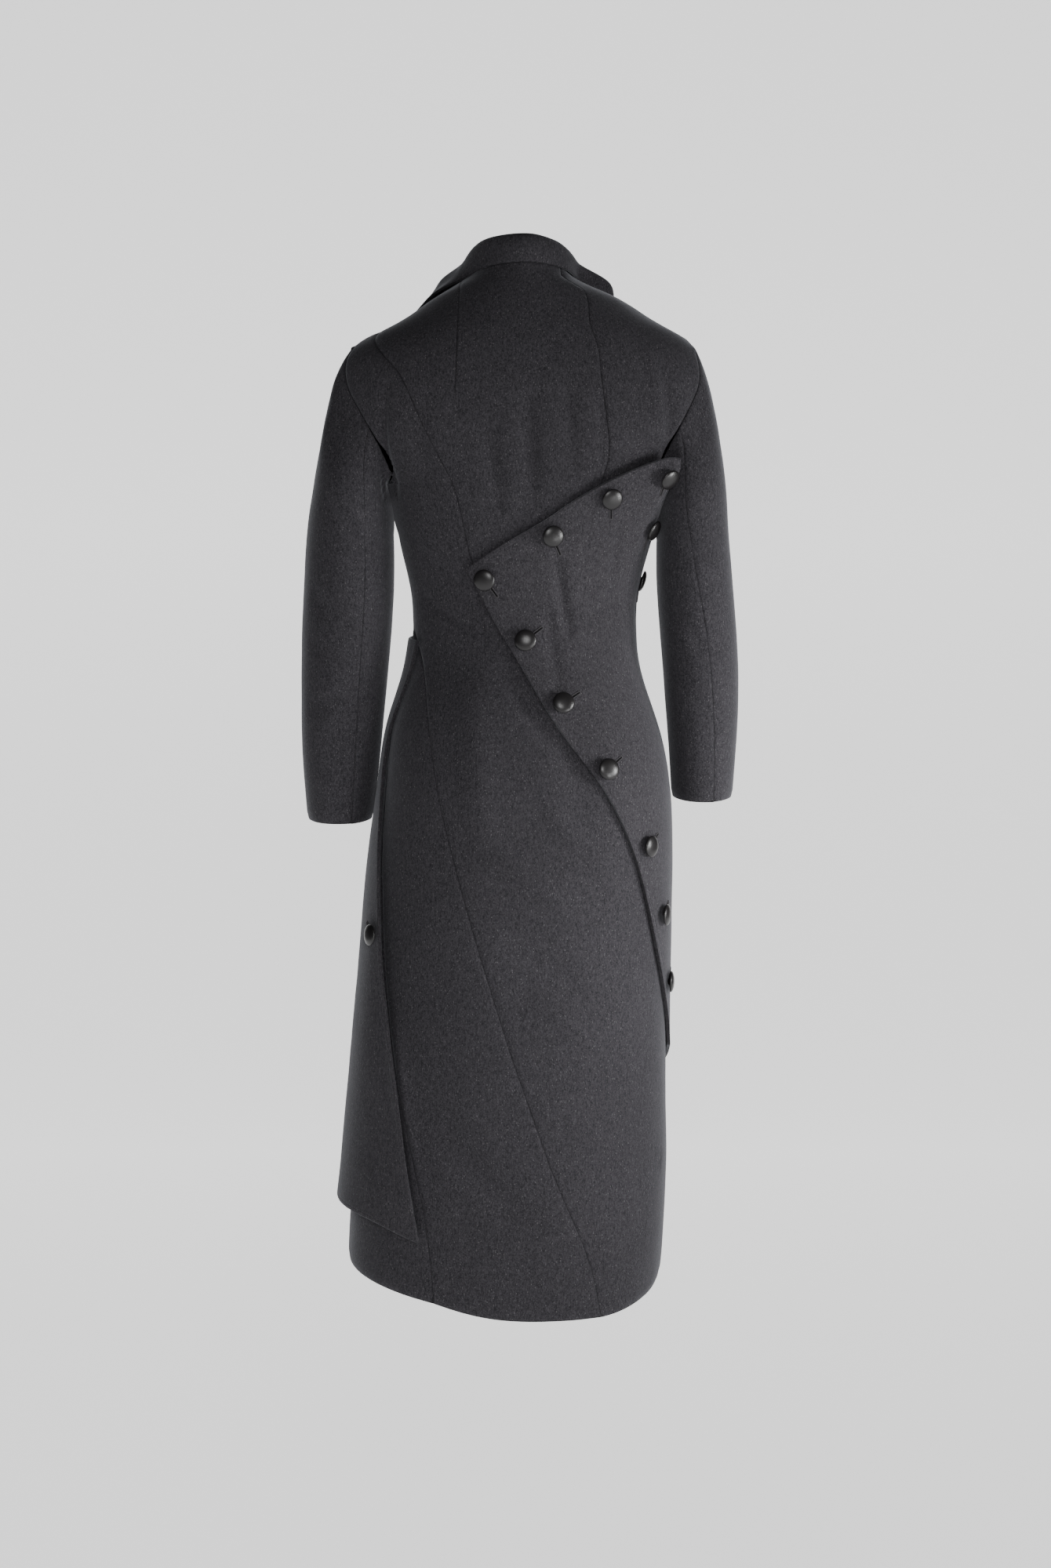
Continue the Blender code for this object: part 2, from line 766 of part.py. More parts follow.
def collar(finish):
    """Makes the turned-down collar: a stand that folds over into the fall."""
    steps = 34
    up = np.array((0.0, 0.0, 1.0))
    under = []
    for k in range(steps + 1):
        angle = FRONT + 4.0 + (360.0 - 8.0) * k / steps
        around = (angle - LEFT) % 360 + LEFT
        front = max(0.0, math.sin(math.radians(angle))) ** 1.5
        side = math.cos(math.radians(angle))
        base = slice_point(angle, NECKLINE_CURVE(around))
        away = np.array((base[0], base[1], 0.0))
        away /= np.linalg.norm(away)
        spread = np.array((math.copysign(0.030 * front ** 4, base[0]), 0.0, 0.0))
        seam = base + up * 0.0014 - away * 0.0008
        top = seam + up * COLLAR_STAND
        turn = top - up * 0.0035 + away * 0.0072
        edge = body_point(angle, COLLAR_EDGE_CURVE(around), COLLAR_CLEARANCE) + spread
        under.append([
            seam,
            seam + (top - seam) * 0.45,
            seam + (top - seam) * 0.85,
            top + up * 0.0010 + away * 0.0032,
            turn,
            (turn + edge) / 2 + (up + away) * (0.0018 - 0.0040 * side ** 2),
            edge,
        ])
    cloth_wall("collar", thicken(under, -CLOTH), under, finish)


def thicken(grid, thickness):
    """Returns a second grid at a distance along the normals of the first."""
    rows = len(grid)
    columns = len(grid[0])
    other = []
    for r in range(rows):
        row = []
        for c in range(columns):
            along = grid[min(r + 1, rows - 1)][c] - grid[max(r - 1, 0)][c]
            across = grid[r][min(c + 1, columns - 1)] - grid[r][max(c - 1, 0)]
            normal = np.cross(along, across)
            row.append(grid[r][c] + normal / np.linalg.norm(normal) * thickness)
        other.append(row)
    return other


def seat_height(middle, normal, side, up, walls):
    """Returns how high the walls rise under a button's base, measured from its middle."""
    highest = -1.0
    for share in (0.0, 0.25, 0.50, 0.75, 0.90, 1.0):
        for k in range(SEAT_SPOKES):
            turn = 2 * math.pi * k / SEAT_SPOKES
            spoke = (side * math.cos(turn) + up * math.sin(turn)) * BUTTON_RADIUS * share
            start = middle + spoke + normal * 0.02
            for wall in walls:
                hit = wall.ray_cast(Vector(start), Vector(-normal), 0.04)[0]
                if hit is not None:
                    highest = max(highest, float(np.dot(np.array(hit) - middle, normal)))
    return highest


def button(name, angle, height, walls, finish):
    """Makes one domed button with a thin rim, seated on the overlay."""
    middle = overlay_point((angle, height), OVERLAY_CLOTH)
    reach = math.degrees(BUTTON_RADIUS / math.hypot(*slice_point(angle, height)[:2]))
    side = (overlay_point((angle + reach, height), OVERLAY_CLOTH)
            - overlay_point((angle - reach, height), OVERLAY_CLOTH))
    up = (overlay_point((angle, height + BUTTON_RADIUS), OVERLAY_CLOTH)
          - overlay_point((angle, height - BUTTON_RADIUS), OVERLAY_CLOTH))
    normal = np.cross(side, up)
    normal /= np.linalg.norm(normal)
    side /= np.linalg.norm(side)
    up = np.cross(normal, side)
    middle = middle + normal * (seat_height(middle, normal, side, up, walls) + BUTTON_CLEARANCE)
    vertices = [middle]
    for share, level in BUTTON_PROFILE:
        for k in range(BUTTON_SIDES):
            turn = 2 * math.pi * k / BUTTON_SIDES
            spoke = side * math.cos(turn) + up * math.sin(turn)
            lifted = normal * BUTTON_HEIGHT * level
            vertices.append(middle + spoke * BUTTON_RADIUS * share + lifted)
    vertices.append(middle + normal * BUTTON_HEIGHT)
    top = len(vertices) - 1
    last = 1 + (len(BUTTON_PROFILE) - 1) * BUTTON_SIDES
    faces = []
    for k in range(BUTTON_SIDES):
        after = (k + 1) % BUTTON_SIDES
        faces.append((0, 1 + after, 1 + k))
        for ring in range(len(BUTTON_PROFILE) - 1):
            low = 1 + ring * BUTTON_SIDES
            high = low + BUTTON_SIDES
            faces.append((low + k, low + after, high + after, high + k))
        faces.append((last + k, last + after, top))
    build_object(name, vertices, faces, finish)


def main():
    clear_scene()
    coat = material("coat_wool", COAT_COLOUR, 0.9)
    overlay = material("overlay_wool", OVERLAY_COLOUR, 0.9)
    satin = material("button_satin", BUTTON_COLOUR, 0.32)
    base_panels(coat)
    sleeve_pieces(-1, LEFT_SLEEVE, coat)
    sleeve_pieces(1, RIGHT_SLEEVE, coat)
    collar(coat)
    walls = [wall_tree(piece) for piece in overlay_pieces(overlay)]
    for name, angle, height in BUTTONS:
        button(name, angle, height, walls, satin)


main()
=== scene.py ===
# %% [markdown]
# # A fitted wool coat, standing hollow in its worn form
#
# The coat is seen from the back. It is sewn from panels of felted charcoal wool, and a big
# outer panel is buttoned over its right back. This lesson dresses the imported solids: every
# panel becomes a thin shell of cloth with soft creases, every button is turned and polished,
# and the wool gets its colour, nap and flecks from shader nodes.
#
# First the empty start-up objects go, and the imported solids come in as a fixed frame. Each
# object is in metres, so a piece is placed where its solid is, with no fitting.

# %% Load the frame
import json
import math

import bmesh
import bpy
import numpy as np
from mathutils import Matrix, Vector, noise
from mathutils.bvhtree import BVHTree
from mathutils.kdtree import KDTree

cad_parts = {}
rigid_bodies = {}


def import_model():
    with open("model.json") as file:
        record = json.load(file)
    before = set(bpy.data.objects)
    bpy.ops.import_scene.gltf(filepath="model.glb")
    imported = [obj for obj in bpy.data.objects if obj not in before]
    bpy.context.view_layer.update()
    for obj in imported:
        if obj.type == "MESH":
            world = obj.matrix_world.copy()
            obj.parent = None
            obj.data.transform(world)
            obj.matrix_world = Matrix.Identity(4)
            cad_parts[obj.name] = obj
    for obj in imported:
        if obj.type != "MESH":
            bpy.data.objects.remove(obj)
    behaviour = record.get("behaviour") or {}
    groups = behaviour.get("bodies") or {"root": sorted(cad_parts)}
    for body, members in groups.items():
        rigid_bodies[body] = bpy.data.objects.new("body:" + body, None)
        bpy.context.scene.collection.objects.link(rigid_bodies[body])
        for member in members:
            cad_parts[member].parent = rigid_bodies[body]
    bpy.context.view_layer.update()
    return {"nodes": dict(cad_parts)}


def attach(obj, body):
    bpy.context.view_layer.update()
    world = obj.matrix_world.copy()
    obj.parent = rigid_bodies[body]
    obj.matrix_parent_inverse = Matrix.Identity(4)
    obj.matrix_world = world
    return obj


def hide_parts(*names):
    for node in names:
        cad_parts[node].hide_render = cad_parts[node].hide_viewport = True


for item in list(bpy.data.objects):
    bpy.data.objects.remove(item, do_unlink=True)
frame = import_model()

# %% [markdown]
# ## The camera
#
# The coat is photographed from behind and slightly above, from three metres away. A long
# lens keeps its upright lines nearly parallel. The aim lies at the coat's waist, a little
# above the middle of its height, and the frame is a tall one.

# %% Place the camera
AIM = Vector((0.0009, 0.0, -0.529))
CAMERA_DISTANCE = 3.0
CAMERA_ELEVATION = math.radians(4.65)
SENSOR_HEIGHT = 36.0
LENS = 58.44

camera_data = bpy.data.cameras.new("camera")
camera_data.sensor_fit = "VERTICAL"
camera_data.sensor_height = SENSOR_HEIGHT
camera_data.lens = LENS
camera = bpy.data.objects.new("camera", camera_data)
bpy.context.scene.collection.objects.link(camera)
away = Vector((0.0, -math.cos(CAMERA_ELEVATION), math.sin(CAMERA_ELEVATION)))
camera.location = AIM + away * CAMERA_DISTANCE
camera.rotation_euler = (math.pi / 2 - CAMERA_ELEVATION, 0.0, 0.0)
bpy.context.scene.camera = camera
print("camera at", [round(v, 3) for v in camera.location])

# %% [markdown]
# ## Helpers for selecting
#
# Blender's operators act on what is selected, and the loaded solids are still selected. So
# each step first selects its own object alone. Edit mode is entered and left in one place,
# and faces are chosen in code, by where they are or which way they face.


# %% Selecting and editing
def only(*objects):
    """Selects these objects alone and makes the first one active."""
    if bpy.context.object and bpy.context.object.mode != "OBJECT":
        bpy.ops.object.mode_set(mode="OBJECT")
    bpy.ops.object.select_all(action="DESELECT")
    for thing in objects:
        thing.select_set(True)
    bpy.context.view_layer.objects.active = objects[0]


def edit(piece):
    """Enters edit mode on one object with nothing selected, and returns its mesh."""
    only(piece)
    bpy.ops.object.mode_set(mode="EDIT")
    bpy.ops.mesh.select_all(action="DESELECT")
    return bmesh.from_edit_mesh(piece.data)


def leave():
    """Leaves edit mode."""
    bpy.ops.object.mode_set(mode="OBJECT")


def apply_modifier(piece, name, kind, **settings):
    """Adds a modifier with the given settings and applies it."""
    only(piece)
    modifier = piece.modifiers.new(name, kind)
    for key, value in settings.items():
        setattr(modifier, key, value)
    bpy.ops.object.modifier_apply(modifier=name)


def triangles(piece):
    """Returns how many triangles a piece has."""
    piece.data.calc_loop_triangles()
    return len(piece.data.loop_triangles)


# %% [markdown]
# ## Wool that looks like wool
#
# The cloth is a felted melange: dark and light fibres are mixed before they are spun, so
# from near it is speckled, from afar charcoal. Its grain runs down the cloth in short
# streaks. One node group makes all of this, and each wool material gives it its own colours.
# The group reads Object coordinates, in metres, and stretches its noise downwards. It puts
# out a colour and a height for the bump. The sheen of the nap is set on the shader itself.
#
# Every sheet also knows how far each of its points lies from its open edge. A second group
# turns that distance into painted shade, which darkens the colour where shade falls: down in
# a seam, along the dart, at the hem, the cuffs and the overlay's edge. It also turns it into
# the line that an iron leaves beside the turned edge of the overlay.


# %% Node helpers
def new_group(name, inputs, outputs):
    """Makes a shader node group from lists of named sockets."""
    group = bpy.data.node_groups.new(name, "ShaderNodeTree")
    for label, kind, value in inputs:
        socket = group.interface.new_socket(label, in_out="INPUT", socket_type=kind)
        socket.default_value = value
    for label, kind in outputs:
        group.interface.new_socket(label, in_out="OUTPUT", socket_type=kind)
    return group, group.nodes.new("NodeGroupInput"), group.nodes.new("NodeGroupOutput")


def add(tree, kind, **settings):
    """Adds one node with the given settings."""
    node = tree.nodes.new(kind)
    for key, value in settings.items():
        setattr(node, key, value)
    return node


def math_node(tree, operation, first, second=None, clamp=False):
    """Adds a Math node and links or sets its two values."""
    node = add(tree, "ShaderNodeMath", operation=operation, use_clamp=clamp)
    for socket, value in zip(node.inputs, (first, second)):
        if isinstance(value, bpy.types.NodeSocket):
            tree.links.new(value, socket)
        elif value is not None:
            socket.default_value = value
    return node.outputs[0]


def mix_colours(tree, share, first, second, blend="MIX"):
    """Adds a Mix node for colours and links or sets its three values."""
    node = add(tree, "ShaderNodeMix", data_type="RGBA", blend_type=blend)
    sockets = (node.inputs[0], node.inputs[6], node.inputs[7])
    for socket, value in zip(sockets, (share, first, second)):
        if isinstance(value, bpy.types.NodeSocket):
            tree.links.new(value, socket)
        else:
            socket.default_value = value
    return node.outputs[2]


def object_noise(tree, scale, detail, stretch=(1.0, 1.0, 1.0)):
    """Adds noise on Object coordinates, stretched by a Mapping node."""
    place = add(tree, "ShaderNodeTexCoord")
    mapping = add(tree, "ShaderNodeMapping")
    mapping.inputs["Scale"].default_value = stretch
    tree.links.new(place.outputs["Object"], mapping.inputs["Vector"])
    texture = add(tree, "ShaderNodeTexNoise")
    texture.inputs["Scale"].default_value = scale
    texture.inputs["Detail"].default_value = detail
    tree.links.new(mapping.outputs["Vector"], texture.inputs["Vector"])
    return texture.outputs["Fac"]


# %% The melange group
FIBRE_SCALE = 820.0
GRAIN_SCALE = 430.0
FLECK_SCALE = 420.0
TONE_SCALE = 6.0
FLECK_REACH = 0.20
FLECK_CHOSEN = 0.30
FLECK_RISE = 0.35
FIBRE_SHARE = 0.62
FIBRE_STRETCH = (1.0, 1.0, 0.70)
GRAIN_STRETCH = (1.0, 1.0, 0.45)
FLECK_STRETCH = (1.0, 1.0, 0.55)


def melange_group():
    """Makes the colour and the height of felted melange wool."""
    group, entry, out = new_group(
        "wool melange",
        (("Dark Fibre", "NodeSocketColor", (0.02, 0.02, 0.02, 1)),
         ("Light Fibre", "NodeSocketColor", (0.07, 0.07, 0.075, 1)),
         ("Fleck", "NodeSocketColor", (0.2, 0.2, 0.2, 1)),
         ("Fleck Share", "NodeSocketFloat", 0.5),
         ("Tone", "NodeSocketFloat", 0.15)),
        (("Color", "NodeSocketColor"), ("Height", "NodeSocketFloat")),
    )
    fibre = object_noise(group, FIBRE_SCALE, 2.0, FIBRE_STRETCH)
    grain = object_noise(group, GRAIN_SCALE, 3.0, GRAIN_STRETCH)
    tone = object_noise(group, TONE_SCALE, 2.0)

    mixed = math_node(group, "ADD", math_node(group, "MULTIPLY", fibre, FIBRE_SHARE),
                      math_node(group, "MULTIPLY", grain, 1 - FIBRE_SHARE))
    spread = add(group, "ShaderNodeMapRange")
    spread.inputs["From Min"].default_value = 0.36
    spread.inputs["From Max"].default_value = 0.66
    group.links.new(mixed, spread.inputs["Value"])
    colour = mix_colours(group, spread.outputs["Result"], entry.outputs["Dark Fibre"],
                         entry.outputs["Light Fibre"])

    place = add(group, "ShaderNodeTexCoord")
    mapping = add(group, "ShaderNodeMapping")
    mapping.inputs["Scale"].default_value = FLECK_STRETCH
    cells = add(group, "ShaderNodeTexVoronoi", feature="F1")
    cells.inputs["Scale"].default_value = FLECK_SCALE
    group.links.new(place.outputs["Object"], mapping.inputs["Vector"])
    group.links.new(mapping.outputs["Vector"], cells.inputs["Vector"])
    parts = add(group, "ShaderNodeSeparateColor")
    group.links.new(cells.outputs["Color"], parts.inputs["Color"])
    near = math_node(group, "LESS_THAN", cells.outputs["Distance"], FLECK_REACH)
    chosen = math_node(group, "LESS_THAN", parts.outputs[0], FLECK_CHOSEN)
    fleck = math_node(group, "MULTIPLY", near, chosen)
    fleck = math_node(group, "MULTIPLY", fleck, entry.outputs["Fleck Share"])
    colour = mix_colours(group, fleck, colour, entry.outputs["Fleck"])

    lighter = math_node(group, "MULTIPLY", math_node(group, "SUBTRACT", tone, 0.5),
                        entry.outputs["Tone"])
    gain = math_node(group, "ADD", lighter, 1.0)
    grey = add(group, "ShaderNodeCombineColor")
    for socket in grey.inputs[:3]:
        group.links.new(gain, socket)
    colour = mix_colours(group, 1.0, colour, grey.outputs[0], "MULTIPLY")
    group.links.new(colour, out.inputs["Color"])
    height = math_node(group, "ADD", mixed, math_node(group, "MULTIPLY", fleck, FLECK_RISE))
    group.links.new(height, out.inputs["Height"])
    return group


MELANGE = melange_group()
print("group:", MELANGE.name, "with", len(MELANGE.nodes), "nodes")


# %% The seam group
SHADE_POWER = 1.6


def seam_group():
    """Makes painted shade near an open edge, as down in a seam, and the pressed line beside a
    turned edge, from a distance.
    """
    group, entry, out = new_group(
        "painted seam shade and pressed edge",
        (("Distance", "NodeSocketFloat", 0.01),
         ("Shade", "NodeSocketFloat", 0.5),
         ("Reach", "NodeSocketFloat", 0.0016),
         ("Press Place", "NodeSocketFloat", 0.0055),
         ("Press Width", "NodeSocketFloat", 0.0010),
         ("Press Depth", "NodeSocketFloat", 0.0)),
        (("Light", "NodeSocketFloat"), ("Height", "NodeSocketFloat")),
    )
    # Light darkens the colour towards an open edge: painted shade, as falls down in a seam.
    near = math_node(group, "DIVIDE", entry.outputs["Distance"], entry.outputs["Reach"], clamp=True)
    far = math_node(group, "SUBTRACT", 1.0, near)
    dark = math_node(group, "MULTIPLY", math_node(group, "POWER", far, SHADE_POWER),
                     entry.outputs["Shade"])
    light = math_node(group, "SUBTRACT", 1.0, dark)
    group.links.new(light, out.inputs["Light"])
    beside = math_node(group, "ABSOLUTE", math_node(
        group, "SUBTRACT", entry.outputs["Distance"], entry.outputs["Press Place"]))
    beside = math_node(group, "DIVIDE", beside, entry.outputs["Press Width"], clamp=True)
    groove = math_node(group, "SUBTRACT", beside, 1.0)
    groove = math_node(group, "MULTIPLY", groove, entry.outputs["Press Depth"])
    group.links.new(groove, out.inputs["Height"])
    return group


SEAM = seam_group()
print("group:", SEAM.name, "with", len(SEAM.nodes), "nodes")


# %% Wool materials
EDGE_ATTRIBUTE = "edge distance"


def wool(name, dark, light, fleck, fleck_share, tone, shade, press_depth, bump=0.5):
    """Makes one wool: a melange colour with painted shade at its seams and edges, a fibre bump and
    the sheen of its nap.
    """
    made = bpy.data.materials.new(name)
    made.use_nodes = True
    tree = made.node_tree
    shader = tree.nodes["Principled BSDF"]
    cloth = add(tree, "ShaderNodeGroup", node_tree=MELANGE)
    cloth.inputs["Dark Fibre"].default_value = (*dark, 1)
    cloth.inputs["Light Fibre"].default_value = (*light, 1)
    cloth.inputs["Fleck"].default_value = (*fleck, 1)
    cloth.inputs["Fleck Share"].default_value = fleck_share
    cloth.inputs["Tone"].default_value = tone
    distance = add(tree, "ShaderNodeAttribute", attribute_name=EDGE_ATTRIBUTE)
    seam = add(tree, "ShaderNodeGroup", node_tree=SEAM)
    seam.inputs["Shade"].default_value = shade
    seam.inputs["Press Depth"].default_value = press_depth
    tree.links.new(distance.outputs["Fac"], seam.inputs["Distance"])
    # The colour is multiplied by the seam group's Light: painted shade near every open edge.
    grey = add(tree, "ShaderNodeCombineColor")
    for socket in grey.inputs[:3]:
        tree.links.new(seam.outputs["Light"], socket)
    colour = mix_colours(tree, 1.0, cloth.outputs["Color"], grey.outputs[0], "MULTIPLY")
    height = math_node(tree, "ADD", cloth.outputs["Height"], seam.outputs["Height"])
    relief = add(tree, "ShaderNodeBump")
    relief.inputs["Strength"].default_value = bump
    relief.inputs["Distance"].default_value = 0.0008
    tree.links.new(colour, shader.inputs["Base Color"])
    tree.links.new(height, relief.inputs["Height"])
    tree.links.new(relief.outputs["Normal"], shader.inputs["Normal"])
    shader.inputs["Roughness"].default_value = 0.92
    shader.inputs["Specular IOR Level"].default_value = 0.18
    shader.inputs["Sheen Weight"].default_value = 0.22
    shader.inputs["Sheen Roughness"].default_value = 0.42
    shader.inputs["Sheen Tint"].default_value = (0.80, 0.82, 0.88, 1)
    return made


# The shade argument, 0.62 for the coat and 0.30 for the overlay, sets how dark the painted shade at
# seams and edges gets.
COAT_WOOL = wool("coat wool", (0.0150, 0.0142, 0.0168), (0.0530, 0.0497, 0.0560),
                 (0.105, 0.100, 0.106), 0.75, 0.30, 0.62, 0.0)
OVERLAY_WOOL = wool("overlay wool", (0.0172, 0.0162, 0.0190), (0.0572, 0.0536, 0.0600),
                    (0.112, 0.107, 0.112), 0.78, 0.30, 0.30, 0.55)
print("wools:", COAT_WOOL.name, "and", OVERLAY_WOOL.name)

# %% [markdown]
# ## From a wall to a sheet of cloth
#
# Each packed panel is a closed wall of loose triangles. A copy of it is merged. A ray from
# every face into the wall finds its far side: close by for the two broad sides, far away for
# the narrow rim. The rim goes, the two sides fall apart, and the outer one is kept. Its
# triangles are joined to quads, because quads subdivide evenly.


# %% Take the outer side of a wall
MERGE = 0.00002
RAY_START = 0.0001
SIDE_ANGLE = math.radians(50)
FOLD_ANGLE = math.radians(100)
SMALL_HOLE = 8
ALL_ANGLES = math.pi
SKEW = math.radians(75)
NARROW = 1.35
NEAR = 1.6


def copy_of_node(node, name):
    """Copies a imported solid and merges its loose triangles."""
    source = frame["nodes"][node]
    piece = source.copy()
    piece.data = source.data.copy()
    piece.parent = None
    piece.matrix_world = Matrix.Identity(4)
    piece.name = name
    bpy.context.scene.collection.objects.link(piece)
    edit(piece)
    bpy.ops.mesh.select_all(action="SELECT")
    bpy.ops.mesh.remove_doubles(threshold=MERGE)
    leave()
    return piece


def is_rim(tree, face, thickness):
    """Tells whether a face is a narrow one, with no far side close behind it."""
    longest = max(edge.calc_length() for edge in face.edges)
    if 2 * face.calc_area() / longest > thickness * NARROW:
        return False
    start = face.calc_center_median() - face.normal * RAY_START
    hit, normal, index, distance = tree.ray_cast(start, -face.normal, thickness * NEAR)
    return hit is None or normal.dot(face.normal) > -math.cos(SIDE_ANGLE)


def islands_of(shape, fold):
    """Returns the sets of faces that hang together without a fold sharper than this."""
    left = set(shape.faces)
    islands = []
    while left:
        island, border = set(), [left.pop()]
        while border:
            face = border.pop()
            island.add(face)
            for edge in face.edges:
                for other in edge.link_faces:
                    if other in left and other.normal.angle(face.normal, 0.0) < fold:
                        left.remove(other)
                        border.append(other)
        islands.append(island)
    return islands


def outwardness(island, across):
    """Returns how much a set of faces faces away from the upright line at this X."""
    total = 0.0
    for face in island:
        centre = face.calc_center_median()
        total += face.calc_area() * (face.normal.x * (centre.x - across) + face.normal.y * centre.y)
    return total


def outer_side(piece, thickness, across):
    """Keeps only the outer side of a wall, as quads."""
    shape = edit(piece)
    bpy.ops.mesh.select_mode(type="FACE")
    tree = BVHTree.FromBMesh(shape)
    for face in shape.faces:
        if is_rim(tree, face, thickness):
            face.select = True
    bmesh.update_edit_mesh(piece.data)
    bpy.ops.mesh.delete(type="FACE")
    shape = bmesh.from_edit_mesh(piece.data)
    kept = max(islands_of(shape, FOLD_ANGLE), key=lambda island: outwardness(island, across))
    for face in shape.faces:
        if face not in kept:
            face.select = True
    bmesh.update_edit_mesh(piece.data)
    bpy.ops.mesh.delete(type="FACE")
    bpy.ops.mesh.select_all(action="SELECT")
    bpy.ops.mesh.fill_holes(sides=SMALL_HOLE)
    bpy.ops.mesh.select_all(action="SELECT")
    bpy.ops.mesh.tris_convert_to_quads(face_threshold=ALL_ANGLES, shape_threshold=SKEW)
    leave()
